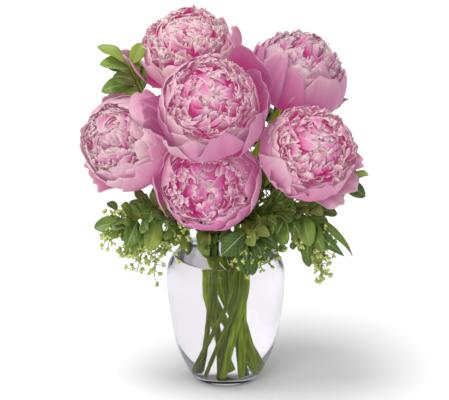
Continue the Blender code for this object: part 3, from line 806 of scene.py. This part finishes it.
def petal_grid(turn, base, tip, slopes, pull, half_width, cup, ruffle, notch, rng, rows, columns,
               twist=0.0, curl=0.55):
    """One petal as a width carried along a cubic in a plane through the bloom's axis.

    base and tip are (distance from the axis, height along it); slopes are the cubic's angles at
    both ends, measured from straight out towards the front. Each cross line is an arc around the
    axis, cup times as wide as its distance but never tighter than curl half widths. The tip is
    shortened towards the sides, notched in the middle and scalloped, and waves that grow towards
    the edge lift it off the surface.
    """
    s = np.linspace(0, 1, rows)[:, None]
    t = np.linspace(-1, 1, columns)[None, :]
    phase = rng.uniform(0, 2 * np.pi, 5)
    scallop = 0.010 * np.sin(7 * t + phase[0]) + 0.006 * np.sin(13 * t + phase[1])
    reach = 1 - 0.34 * np.abs(t) ** 2.4 - notch * np.exp(-(t / 0.2) ** 2) + scallop
    u = s * reach
    base, tip = np.array(base), np.array(tip)
    chord = np.linalg.norm(tip - base) * pull
    first = base + chord * np.array([math.cos(slopes[0]), math.sin(slopes[0])])
    second = tip - chord * np.array([math.cos(slopes[1]), math.sin(slopes[1])])
    weights = [(1 - u) ** 3, 3 * u * (1 - u) ** 2, 3 * u * u * (1 - u), u ** 3]
    out, rise = (sum(w * p[k] for w, p in zip(weights, (base, first, second, tip))) for k in (0, 1))
    legs = (first - base, second - first, tip - second)
    speed = [(1 - u) ** 2, 2 * u * (1 - u), u * u]
    d_out, d_rise = (sum(w * leg[k] for w, leg in zip(speed, legs)) for k in (0, 1))
    norm = np.maximum(np.hypot(d_out, d_rise), 1e-9)
    n_out, n_rise = d_rise / norm, -d_out / norm
    width = half_width * (0.22 + 0.78 * np.sin(np.pi / 2 * np.clip(u / 0.62, 0, 1)))
    width = width * (1 - 0.12 * np.clip((u - 0.7) / 0.3, 0, 1) ** 2)
    arc = np.maximum(np.abs(out) * cup, width * curl)
    psi = t * width / arc
    wave = np.sin(5.0 * t + 2.5 * u + phase[2]) * (0.30 + np.abs(t)) + 0.45 * np.sin(11 * t + phase[3])
    fold = np.sin(2.2 * t + phase[4]) * u
    lift = ruffle * (u ** 2.5 * wave + 0.6 * fold)
    x = out - arc * (1 - np.cos(psi)) + n_out * lift * np.cos(psi)
    y = arc * np.sin(psi) + n_out * lift * np.sin(psi)
    z = rise + n_rise * lift
    angle = turn + twist * u
    return np.stack([x * np.cos(angle) - y * np.sin(angle),
                     x * np.sin(angle) + y * np.cos(angle), z], axis=-1)


def ball_size(bloom):
    """Radius of the ball of petals and half its depth: the CAD heart's, a little swollen."""
    return HEART_RADIUS * bloom.size * BALL_SWELL, HEART_DEPTH * bloom.size * BALL_SWELL


def on_ball(polar, radius, depth, level):
    """(distance from the axis, height) of the ball's outline at this angle from its front, scaled."""
    return radius * math.sin(polar) * level, depth * math.cos(polar) * level


def ball_slope(polar, radius, depth):
    """Angle of the ball's outline at this angle from its front, going towards the front."""
    return math.atan2(depth * math.sin(polar), -radius * math.cos(polar))


def core_grid(radius, depth, rows, columns):
    """Ellipsoid under the petals in the deepest petal colour: painted shade that shows in the gaps between
    them.
    """
    polar = np.linspace(np.pi, 0, rows)[:, None]
    turn = np.linspace(0, 2 * np.pi, columns, endpoint=False)[None, :]
    return np.stack([radius * np.sin(polar) * np.cos(turn), radius * np.sin(polar) * np.sin(turn),
                     np.broadcast_to(depth * np.cos(polar), (rows, columns))], axis=-1)


def place_on_bloom(grid, bloom):
    """The grid turned to face the way the bloom does and moved to it, its front half flattened."""
    centre, axes = bloom_frame(bloom)
    flat = BLOOM_FLATNESS.get(bloom.name, 1.0)
    grid = np.concatenate([grid[..., :2], np.minimum(grid[..., 2:], grid[..., 2:] * flat)], axis=-1)
    return grid @ axes + centre + BLOOM_SHIFTS.get(bloom.name, 0.0)


def tilted(grid, angles):
    """The grid turned about the ball's centre by two small angles, so its rings look less regular."""
    (cos_a, cos_b), (sin_a, sin_b) = np.cos(angles), np.sin(angles)
    about_x = np.array([[1, 0, 0], [0, cos_a, -sin_a], [0, sin_a, cos_a]])
    about_y = np.array([[cos_b, 0, sin_b], [0, 1, 0], [-sin_b, 0, cos_b]])
    return grid @ (about_x @ about_y)


def inner_petals(bloom, settings, material, seed):
    """The ball: crumpled petals that lie over its front, inside wrapping petals in nested shells."""
    rng = np.random.default_rng(seed)
    sheaf = Sheaf()
    radius, depth = ball_size(bloom)
    crown = BLOOM_LOOKS[bloom.name].crown
    count = round(settings.centre_petals * crown / FULL_CROWN)
    places = even_places(*SMALL_GRID)
    # the deep base colour comes sooner on crumpled petals: painted shade in the crevices between them
    places[..., 1] = np.clip(1 - DEEP_SHARE * (1 - places[..., 1]), 0, 1)
    for k in range(count):
        share = (k + 0.5) / count
        polar = math.radians(-20 + (crown + 20) * math.sqrt(share)) + rng.normal(0, 0.05)
        level = rng.uniform(0.90, 1.04)
        slope = ball_slope(polar, radius, depth) - math.radians(rng.uniform(-15, 78))
        grid = petal_grid(
            k * GOLDEN_TURN + rng.normal(0, 0.15), on_ball(polar + 0.75, radius, depth, 0.60),
            on_ball(polar, radius, depth, level),
            (math.radians(rng.uniform(40, 80)), slope), 0.50, rng.uniform(0.0036, 0.0076),
            rng.uniform(0.6, 1.2), settings.ruffle * rng.uniform(0.6, 1.9), rng.uniform(-0.05, 0.30), rng,
            *SMALL_GRID, rng.normal(0, 0.30 + 0.9 * math.exp(-(polar / 0.5) ** 2)),
            rng.uniform(0.5, 1.1))
        grid = tilted(grid, rng.normal(0, 0.20, 2))
        sheaf.add(place_on_bloom(grid, bloom), rng.uniform(0.3, 1), places)
    for k in range(settings.wrap_petals):
        share = k / (settings.wrap_petals - 1)
        polar = math.radians(crown - 20 + 22 * share + rng.normal(0, 5))
        level = 0.94 + 0.10 * share
        slope = ball_slope(polar, radius, depth) - math.radians(rng.uniform(-6, 12))
        grid = petal_grid(
            k * GOLDEN_TURN + 0.5, (0.003, -0.92 * depth * level),
            on_ball(polar, radius, depth, level), (math.radians(-8), slope), 0.66,
            radius * rng.uniform(0.46, 0.66), 1.0, settings.ruffle * 0.45,
            rng.uniform(-0.03, 0.05), rng, *WRAP_GRID)
        sheaf.add(place_on_bloom(grid, bloom), rng.uniform(0.0, 0.55))
    core = core_grid(radius * CORE_SHARE, depth * CORE_SHARE, 12, 24)
    # tone 0 and places at the base give the core the deepest petal colour: painted shade for the gaps
    sheaf.add(place_on_bloom(core, bloom), 0.0, even_places(*core.shape[:2]) * 0.05, around=True)
    return sheaf.build(f"{bloom.name}_inner_petals", material)


def guard_petals(bloom, settings, material, seed):
    """The large outer petals, each a wide one from the calyx that follows the ball and then flares."""
    rng = np.random.default_rng(seed)
    sheaf = Sheaf()
    radius, depth = ball_size(bloom)
    for turn, polar, level, flare, half_width, waves in GUARDS[bloom.name]:
        polar = math.radians(polar)
        slope = ball_slope(polar, radius, depth) - math.radians(flare)
        grid = petal_grid(
            math.radians(turn), (0.0035, -depth - 0.003), on_ball(polar, radius, depth, level),
            (math.radians(-4), slope), 0.62, half_width, 1.0 + 0.2 * (level - 1),
            settings.ruffle * waves * GUARD_RUFFLE, rng.uniform(-0.02, 0.10), rng, *GUARD_GRID)
        # low tones give the guards deeper colours: partly their own colour, partly painted shade on the
        # guards under the ball
        sheaf.add(place_on_bloom(grid, bloom), rng.uniform(-0.60, 0.22))
    return sheaf.build(f"{bloom.name}_guard_petals", material)


def calyx(bloom, material, seed):
    """Receptacle turned about the bloom's axis, with five sepals that hug the guard petals."""
    rng = np.random.default_rng(seed)
    sheaf = Sheaf()
    bottom = HEART_DEPTH * bloom.size
    outline = smooth_line([(0.0, -bottom - 0.001), (0.0060, -bottom - 0.0015), (0.0085, -bottom - 0.0050),
                           (0.0062, -bottom - 0.0090), (0.0036, -bottom - CALYX_DEPTH + 0.0005),
                           (0.0, -bottom - CALYX_DEPTH - 0.0010)], 6)[::-1]
    knob = turned_grid(outline, 32)
    sheaf.add(place_on_bloom(knob, bloom), 0.4, around=True)
    for k in range(SEPALS):
        long = 1.0 if k % 2 else 0.75
        polar = math.radians(180 - 42 * long - rng.uniform(0, 6))
        out, rise = on_ball(polar, HEART_RADIUS, HEART_DEPTH, SEPAL_REACH)
        grid = petal_grid(
            k * 2 * math.pi / SEPALS + rng.normal(0, 0.1), (0.0040, -bottom - 0.0075), (out, rise - 0.004),
            (math.radians(-6), math.radians(48)), 0.5, 0.0095, 1.0, 0.0008, -0.12, rng, *SMALL_GRID)
        sheaf.add(place_on_bloom(grid, bloom), rng.uniform(0, 1))
    return sheaf.build(f"{bloom.name}_calyx", material)


def peony_stem_line(bloom):
    """Centre line of a peony's stem: its lattice line, then a cubic that meets the calyx square on."""
    centre, axes = bloom_frame(bloom)
    face = axes[2]
    below = lattice_line("outer", bloom.slot, STEM_FOOT, NECK_EXIT, 60)
    pull = unit(below[-1] - below[-3])
    end = centre - face * (HEART_DEPTH * bloom.size + CALYX_DEPTH - 0.001)
    near_end = end - face * STEM_COLLAR
    length = np.linalg.norm(end - below[-1])
    above = hermite(below[-1], pull * length * 1.1, near_end, face * length * 1.1, 50)
    return resample(np.vstack([below, above, end]), 110)


def stem_grid(line, radius, rng, sides=20):
    """Tube along the line with swollen nodes, a slightly uneven girth and a slanting cut at its foot."""
    share = np.linspace(0, 1, len(line))
    girth = (1 + 0.05 * np.sin(share * 9 + rng.uniform(0, 6))
             + 0.03 * np.sin(share * 23 + rng.uniform(0, 6)))
    for node in rng.uniform(0.12, 0.85, 2):
        girth = girth + 0.22 * np.exp(-((share - node) / 0.012) ** 2)
    grid = tube_grid(line, radius * girth, sides)
    turn = np.linspace(0, 2 * np.pi, sides, endpoint=False)[:, None]
    ahead = unit(line[1] - line[0])
    grid[1] += ahead * (1 + np.cos(turn)) * radius * 0.55
    grid[0] += ahead * radius * 0.55
    return grid


def peony_stem(bloom, material, seed):
    """One peony stem, from its cut foot to the calyx."""
    sheaf = Sheaf()
    line = peony_stem_line(bloom)
    grid = stem_grid(line, PEONY_STEM_RADIUS, np.random.default_rng(seed))
    sheaf.add(grid, around=True)
    return sheaf.build(f"{bloom.name}_stem", material)


# ------------------------------------------------------------------ foliage
def direction(heading, climb):
    """Unit vector at this heading around Z (0 is +X) and this climb above the level, in degrees."""
    heading, climb = math.radians(heading), math.radians(climb)
    return np.array([math.cos(climb) * math.cos(heading),
                     math.cos(climb) * math.sin(heading), math.sin(climb)])


def leaf_grid(root, heading, climb, length, width, slim, round_tip, roll, rng, rows=18, columns=9):
    """Leaf blade: an oval width carried along an arch, folded up a little on both sides of its midrib.

    slim moves the widest place along the blade: below 1 is broad near the stalk, above 1 near the tip.
    round_tip is the power of the sine that sets the width: the smaller it is, the blunter the tip.
    """
    s = np.linspace(0, 1, rows)[:, None, None]
    t = np.linspace(-1, 1, columns)[None, :, None]
    ahead = direction(heading, climb)
    side = np.cross(ahead, [0.0, 0.0, 1.0])
    side = side / np.linalg.norm(side)
    up = np.cross(side, ahead)
    side, up = side * math.cos(roll) + up * math.sin(roll), up * math.cos(roll) - side * math.sin(roll)
    droop = rng.uniform(0.06, 0.20)
    sway = rng.uniform(-0.08, 0.08)
    middle = (root + ahead * length * (s - 0.1 * droop * s ** 2)
              + up * length * 0.10 * np.sin(np.pi * s * 0.8))
    middle = middle - np.array([0, 0, 1.0]) * length * droop * s ** 2 + side * length * sway * s ** 2
    half = 0.5 * width * np.clip(np.sin(np.pi * s ** slim), 0, 1) ** round_tip
    fold = 0.22 + 0.12 * rng.uniform(-1, 1)
    ripple = 0.05 * width * np.sin(9 * s + rng.uniform(0, 6)) * np.abs(t)
    return middle + side * half * t + up * (half * fold * np.abs(t) + ripple * (half > 0))


def seed_grid(centre, axis, size):
    """A small pear-shaped seed: an outline turned about its stalk."""
    body = turned_grid(np.array(SEED_OUTLINE) * size, SEED_SIDES)
    across = np.cross(axis, [0.31, 0.52, 0.79])
    across = across / np.linalg.norm(across)
    return body @ np.array([across, np.cross(axis, across), axis]) + centre


def sprig_line(sprig):
    """Centre line of a sprig, and the part of it above the neck that carries the leaves."""
    below = lattice_line(sprig["ring"], sprig["slot"], STEM_FOOT, NECK_EXIT, 50)
    above = smooth_line([below[-1], *sprig["route"]], 12)
    return resample(np.vstack([below[:-1], above]), 110), above


def point_along(line, share):
    """The point at this share of the line's steps."""
    place = share * (len(line) - 1)
    k = min(int(place), len(line) - 2)
    return line[k] + (line[k + 1] - line[k]) * (place - k)


def leaf_list(sprig):
    """The sprig's own leaves and the ones drawn at random to fill it, each with its stalk length."""
    rng = np.random.default_rng(sprig["slot"])
    leaves = [(*leaf, SHORT_STALK) for leaf in sprig["leaves"]]
    for count, *ranges in sprig["fill"]:
        for _ in range(count):
            share, heading, climb, length, stalk = (rng.uniform(*limits) for limits in ranges)
            leaves.append((share, heading, climb, length, length * rng.uniform(0.46, 0.62), stalk))
    return leaves


def sprig_stem(sprig, material, seed):
    """The sprig's woody stem, thinner towards its tip, with a stalk to each leaf."""
    rng = np.random.default_rng(seed)
    sheaf = Sheaf()
    line, above = sprig_line(sprig)
    taper = np.clip(1.0 - 0.60 * np.clip(np.linspace(-0.6, 1, len(line)), 0, 1), 0.3, 1)
    knots = 1 + 0.04 * np.sin(np.arange(len(line)) * 0.9)
    grid = tube_grid(line, SPRIG_STEM_RADIUS * taper * knots, 12)
    sheaf.add(grid, around=True)
    for share, heading, climb, _, _, stalk in leaf_list(sprig):
        root = point_along(above, share)
        twig = root + direction(heading, climb) * np.linspace(-0.0005, stalk + 0.0005, 5)[:, None]
        grid = tube_grid(twig, np.full(len(twig), TWIG_RADIUS), 6)
        sheaf.add(grid, rng.uniform(0, 1), around=True)
    return sheaf.build(f"{sprig['name']}_stem", material)


def sprig_leaves(sprig, material, seed):
    """All blades of a sprig, each rolled so that its upper face looks out of the bouquet."""
    rng = np.random.default_rng(seed)
    sheaf = Sheaf()
    _, above = sprig_line(sprig)
    for share, heading, climb, length, width, stalk in leaf_list(sprig):
        root = point_along(above, share) + direction(heading, climb) * stalk
        slim, round_tip = (0.80, 0.95) if width < 0.3 * length else (1.10, 0.62)
        outwards = -1.0 if root[1] < 0.03 else 1.0
        side = math.copysign(outwards, outwards * math.cos(math.radians(heading)))
        roll = side * rng.uniform(0.1, 1.15)
        grid = leaf_grid(root, heading, climb, length - SHORT_STALK, width, slim, round_tip, roll, rng)
        sheaf.add(grid, rng.uniform(0, 1))
    return sheaf.build(f"{sprig['name']}_blades", material)


def seed_cluster(sheaf, twigs, root, heading, climb, length, rng):
    """A drooping twig with short side twigs, each ending in a tuft of seeds."""
    ahead = direction(heading, climb)
    share = np.linspace(0, 1, 14)[:, None]
    bend = np.array([rng.normal(0, 0.12), rng.normal(0, 0.12), -0.18])
    line = root + ahead * length * share + bend * length * share ** 2
    grid = tube_grid(line, np.linspace(0.0007, 0.0004, 14), 6)
    twigs.add(grid, around=True)
    for k in range(TUFTS):
        start = point_along(line, 0.35 + 0.65 * k / (TUFTS - 1))
        lean = unit(rng.normal(0, 1, 3) + np.array([0.0, 0.0, -0.3]))
        reach = rng.uniform(0.004, 0.013)
        stalk = start + lean * reach * np.linspace(0, 1, 4)[:, None]
        grid = tube_grid(stalk, np.full(4, 0.00035), 5)
        twigs.add(grid, around=True)
        for _ in range(SEEDS_PER_TUFT):
            axis = unit(lean + rng.normal(0, 0.75, 3))
            body = seed_grid(stalk[-1], axis, rng.uniform(0.0019, 0.0029))
            sheaf.add(body, rng.uniform(0, 1), around=True)


def sprig_seeds(sprig, seed_finish, twig_finish, seed):
    """The sprig's hanging seed clusters: one piece of seeds and one of the twigs that carry them."""
    rng = np.random.default_rng(seed)
    seeds, twigs = Sheaf(), Sheaf()
    _, above = sprig_line(sprig)
    for share, heading, climb, length in sprig["seeds"]:
        seed_cluster(seeds, twigs, point_along(above, share), heading, climb, length, rng)
    return (seeds.build(f"{sprig['name']}_seeds", seed_finish),
            twigs.build(f"{sprig['name']}_twigs", twig_finish))


# ------------------------------------------------------------------ vase and water
def turned_piece(name, outline, segments, material):
    """One piece: its outline turned about the Z axis."""
    sheaf = Sheaf()
    sheaf.add(turned_grid(outline, segments), around=True)
    return sheaf.build(name, material)


def inner_wall():
    """Inside of the glass from the floor's rounded corner to just under the lip."""
    wall = [(r - WALL, z) for r, z in BODY_OUTLINE[2:]]
    corner = [(0.0310, FLOOR_HEIGHT), (0.0375, 0.0125)]
    return smooth_line([*corner, *wall], 8)


def vase_mesh(settings, material):
    """Glass outline turned about Z: foot, belly, shoulder, neck, lip, then inside to its floor."""
    outside = smooth_line([*FOOT_OUTLINE, *BODY_OUTLINE[1:], *LIP_OUTLINE], 8)
    inside = inner_wall()[::-1]
    flat = np.linspace(0, 1, 5)[:, None]
    under = np.array([0.0, 0.0004]) * (1 - flat) + outside[0] * flat
    floor = inside[-1] * (1 - flat) + np.array([0.0, FLOOR_HEIGHT]) * flat
    outline = np.vstack([under[:-1], outside, inside[:-1], floor])
    return turned_piece("glass_vase", outline, settings.segments, material)


def water_mesh(settings, material):
    """Water turned about Z: it follows the glass from inside and climbs it a little at the top."""
    wall = inner_wall()
    level = settings.water_level
    below = wall[wall[:, 1] < level]
    edge = float(np.interp(level, wall[:, 1], wall[:, 0])) + WATER_BITE
    side = below + np.array([WATER_BITE, -WATER_BITE])
    rise = np.linspace(0, 1, 9)[:, None]
    climb = np.hstack([edge - 0.006 * rise, level + MENISCUS * (1 - rise) ** 3])
    outline = np.vstack([[(0.0, FLOOR_HEIGHT - WATER_BITE)], side, climb, [(0.0, level)]])
    return turned_piece("still_water", outline, settings.segments, material)


# ------------------------------------------------------------------ each piece tied to the body, and the operators that build the pieces
def stand_for(obj, slot, *nodes):
    """Tie a finished piece to the body and hide the solids it stands for; slot, the finish it takes, is
    not used.
    """
    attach(obj, BODY)
    if nodes:
        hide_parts(*nodes)
    return obj


class BOUQUET_OT_vase(bpy.types.Operator):
    """Add the clear glass vase"""
    bl_idname = "bouquet.vase"
    bl_label = "Glass vase"

    def execute(self, context):
        settings = context.scene.bouquet_vase
        obj = vase_mesh(settings, glass_material("clear glass", settings.glass_tint))
        merge_close(obj, POLE_MERGE)
        stand_for(obj, "glass", "vase")
        return {"FINISHED"}


class BOUQUET_OT_water(bpy.types.Operator):
    """Add the water in the vase"""
    bl_idname = "bouquet.water"
    bl_label = "Water"

    def execute(self, context):
        obj = water_mesh(context.scene.bouquet_vase, water_material("still water"))
        merge_close(obj, POLE_MERGE)
        stand_for(obj, "water", "water")
        return {"FINISHED"}


class BOUQUET_OT_stems(bpy.types.Operator):
    """Add the six peony stems"""
    bl_idname = "bouquet.stems"
    bl_label = "Peony stems"

    def execute(self, context):
        material = stem_material("peony stem", context.scene.bouquet_foliage.stem_colour, 0.20)
        for k, bloom in enumerate(PEONIES):
            obj = peony_stem(bloom, material, STEM_SEED + k)
            merge_close(obj, POLE_MERGE)
            stand_for(obj, "stem", f"peony_{bloom.name}_stem")
        return {"FINISHED"}


class BOUQUET_OT_blooms(bpy.types.Operator):
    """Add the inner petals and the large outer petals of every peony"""
    bl_idname = "bouquet.blooms"
    bl_label = "Peony petals"

    def execute(self, context):
        settings = context.scene.bouquet_peony
        for k, bloom in enumerate(PEONIES):
            look = BLOOM_LOOKS[bloom.name]
            material = petal_material(f"ball petals {bloom.name}", settings, look, look.ball_shade)
            ball = inner_petals(bloom, settings, material, BALL_SEED + k)
            thicken(ball, PETAL_THICKNESS)
            stand_for(ball, "heart", f"peony_{bloom.name}_heart")
            # the guards take their own copy of the petal material, scaled by guard_shade: partly painted
            # shade on guards in shadow
            material = petal_material(f"guard petals {bloom.name}", settings, look, look.guard_shade)
            guards = guard_petals(bloom, settings, material, GUARD_SEED + k)
            thicken(guards, PETAL_THICKNESS)
            stand_for(guards, "petal", *(f"peony_{bloom.name}_petal_{letter}" for letter in "abcd"))
        return {"FINISHED"}


class BOUQUET_OT_calyxes(bpy.types.Operator):
    """Add the green receptacle and sepals under every peony"""
    bl_idname = "bouquet.calyxes"
    bl_label = "Calyxes"

    def execute(self, context):
        settings = context.scene.bouquet_foliage
        material = leaf_material("sepals", blend(settings.light_leaf, settings.dark_leaf, 0.4))
        for k, bloom in enumerate(PEONIES):
            obj = calyx(bloom, material, CALYX_SEED + k)
            thicken(obj, LEAF_THICKNESS)
            stand_for(obj, "calyx", f"peony_{bloom.name}_calyx")
        return {"FINISHED"}


class BOUQUET_OT_foliage(bpy.types.Operator):
    """Add the leaf sprigs and the seeded eucalyptus"""
    bl_idname = "bouquet.foliage"
    bl_label = "Foliage"

    def execute(self, context):
        settings = context.scene.bouquet_foliage
        middle = blend(settings.light_leaf, settings.dark_leaf, 0.62)
        leaves = {
            "leaf_light": leaf_material("light leaves", settings.light_leaf),
            "leaf_dark": leaf_material("dark leaves", settings.dark_leaf),
            "leaf_grey_green": leaf_material("eucalyptus leaves", middle),
        }
        wood = stem_material("sprig stem", blend(settings.stem_colour, (0.12, 0.10, 0.04), 0.4), 0.06)
        seeds = seed_material("eucalyptus seeds", settings.seed_colour)
        for k, sprig in enumerate(SPRIGS):
            stem = sprig_stem(sprig, wood, SPRIG_SEED + k)
            merge_close(stem, POLE_MERGE)
            stand_for(stem, sprig["finish"], sprig["name"])
            blades = sprig_leaves(sprig, leaves[sprig["finish"]], BLADE_SEED + k)
            merge_close(blades, POLE_MERGE)
            thicken(blades, LEAF_THICKNESS)
            stand_for(blades, sprig["finish"], sprig["name"])
            if sprig["seeds"]:
                for obj in sprig_seeds(sprig, seeds, wood, CLUSTER_SEED + k):
                    merge_close(obj, POLE_MERGE)
                    stand_for(obj, sprig["finish"], sprig["name"])
        return {"FINISHED"}


def hang(name, data, place, way):
    """Put a lamp or camera at the place, looking this way."""
    obj = bpy.data.objects.new(name, data)
    obj.location = place
    obj.rotation_euler = way.to_track_quat("-Z", "Y").to_euler()
    bpy.context.scene.collection.objects.link(obj)
    return obj


def area_lamp(name, place, aim, size, power):
    """White round lamp at the place, turned to its aim."""
    lamp = bpy.data.lights.new(name, "AREA")
    lamp.shape = "DISK"
    lamp.size = size
    lamp.energy = power
    return hang(name, lamp, place, Vector(aim) - Vector(place))


def sun_lamp(name, way, strength, softness):
    """Even light from one side; softness is the angle the lamp fills, seen from the bouquet."""
    lamp = bpy.data.lights.new(name, "SUN")
    lamp.energy = strength
    lamp.angle = softness
    return hang(name, lamp, (0.0, 0.0, 0.0), Vector(way))


def sky_gradient(world):
    """White overhead and greyer towards the horizon, so that the glass edges read; a white backdrop."""
    nodes, links = world.node_tree.nodes, world.node_tree.links
    background = nodes["Background"]
    split = nodes.new("ShaderNodeSeparateXYZ")
    links.new(nodes.new("ShaderNodeTexCoord").outputs["Generated"], split.inputs[0])
    sky = [(0.10, (0.46, 0.49, 0.51)), (0.32, (0.80, 0.80, 0.81)), (0.75, (1.0, 1.0, 1.0))]
    links.new(colours(nodes, links, split.outputs["Z"], sky), background.inputs["Color"])
    background.inputs["Strength"].default_value = 0.60
    backdrop = nodes.new("ShaderNodeBackground")
    backdrop.inputs["Color"].default_value = (1.0, 1.0, 1.0, 1.0)
    rays = nodes.new("ShaderNodeLightPath")
    choose = nodes.new("ShaderNodeMixShader")
    links.new(rays.outputs["Is Camera Ray"], choose.inputs["Fac"])
    links.new(background.outputs[0], choose.inputs[1])
    links.new(backdrop.outputs[0], choose.inputs[2])
    links.new(choose.outputs[0], nodes["World Output"].inputs["Surface"])


def floor_material(name, colour):
    """Plain pale floor with a barely seen grain and a faint glow that keeps it white."""
    material, nodes, links, shader = new_material(name)
    grain = noise(nodes, links, object_place(nodes), 6.0)
    paint = colours(nodes, links, grain, [(0.0, blend(colour, (1, 1, 1), 0.15)), (1.0, colour)])
    links.new(paint, shader.inputs["Base Color"])
    links.new(paint, shader.inputs["Emission Color"])
    set_inputs(shader, {"Emission Strength": 0.05, "Roughness": 0.8, "Specular IOR Level": 0.1})
    return material


class BOUQUET_OT_stage(bpy.types.Operator):
    """Add the floor, the soft lamps, the sky light and the camera"""
    bl_idname = "bouquet.stage"
    bl_label = "Stage and camera"

    def execute(self, context):
        settings = context.scene.bouquet_stage
        scene = context.scene
        scene.view_settings.view_transform = "Standard"
        mesh = bpy.data.meshes.new("floor")
        corners = [(x * FLOOR_HALF, y * FLOOR_HALF, 0) for x, y in ((-1, -1), (1, -1), (1, 1), (-1, 1))]
        mesh.from_pydata(corners, [], [(0, 1, 2, 3)])
        mesh.materials.append(floor_material("floor", settings.floor_colour))
        floor = bpy.data.objects.new("floor", mesh)
        floor.location.z = -0.0002
        scene.collection.objects.link(floor)
        world = bpy.data.worlds.new("soft sky")
        world.use_nodes = True
        sky_gradient(world)
        scene.world = world
        sun_lamp("key", settings.key_direction, settings.key_strength, settings.key_softness)
        fill = area_lamp("fill", (-0.9, -1.9, 1.1), (0.0, 0.0, 0.22), 1.6, settings.fill_power)
        fill.visible_glossy = False
        rise, distance = settings.camera_rise, settings.camera_distance
        aim = Vector(CAMERA_AIM)
        camera = bpy.data.cameras.new("camera")
        camera.sensor_width = SENSOR_WIDTH
        camera.lens = camera.sensor_width * distance / VIEW_WIDTH
        place = aim + Vector((0.0, -math.cos(rise), math.sin(rise))) * distance
        scene.camera = hang("camera", camera, place, aim - place)
        return {"FINISHED"}


class BOUQUET_PT_panel(bpy.types.Panel):
    """Buttons and settings for the bouquet"""
    bl_label = "Peonies in a vase"
    bl_idname = "BOUQUET_PT_panel"
    bl_space_type = "VIEW_3D"
    bl_region_type = "UI"
    bl_category = "Bouquet"

    def draw(self, context):
        for group, names, operators in PANEL_ROWS:
            settings = getattr(context.scene, group)
            for name in names:
                self.layout.prop(settings, name)
            for operator in operators:
                self.layout.operator(operator)


PANEL_ROWS = [
    ("bouquet_vase", ("glass_tint", "water_level", "segments"), ("bouquet.vase", "bouquet.water")),
    ("bouquet_peony", ("pale_colour", "middle_colour", "deep_colour", "wrap_petals", "centre_petals",
                       "ruffle"), ("bouquet.blooms", "bouquet.calyxes")),
    ("bouquet_foliage", ("stem_colour", "light_leaf", "dark_leaf", "seed_colour"),
     ("bouquet.stems", "bouquet.foliage")),
    ("bouquet_stage", ("camera_rise", "camera_distance", "key_direction", "key_strength", "key_softness",
                       "fill_power", "floor_colour"), ("bouquet.stage",)),
]
GROUPS = {
    "bouquet_vase": VaseSettings, "bouquet_peony": PeonySettings,
    "bouquet_foliage": FoliageSettings, "bouquet_stage": StageSettings,
}
CLASSES = (*GROUPS.values(), BOUQUET_OT_vase, BOUQUET_OT_water, BOUQUET_OT_stems, BOUQUET_OT_blooms,
           BOUQUET_OT_calyxes, BOUQUET_OT_foliage, BOUQUET_OT_stage, BOUQUET_PT_panel)


def register():
    """Make the classes known to Blender and hang the settings on the scene."""
    for cls in CLASSES:
        bpy.utils.register_class(cls)
    for name, group in GROUPS.items():
        setattr(bpy.types.Scene, name, PointerProperty(type=group))


def unregister():
    """Undo what register does, in the other order."""
    for name in GROUPS:
        delattr(bpy.types.Scene, name)
    for cls in reversed(CLASSES):
        bpy.utils.unregister_class(cls)


def main():
    """Register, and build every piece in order."""
    register()
    bpy.ops.bouquet.vase()
    bpy.ops.bouquet.water()
    bpy.ops.bouquet.stems()
    bpy.ops.bouquet.blooms()
    bpy.ops.bouquet.calyxes()
    bpy.ops.bouquet.foliage()
    bpy.ops.bouquet.stage()


if __name__ == "__main__":
    main()
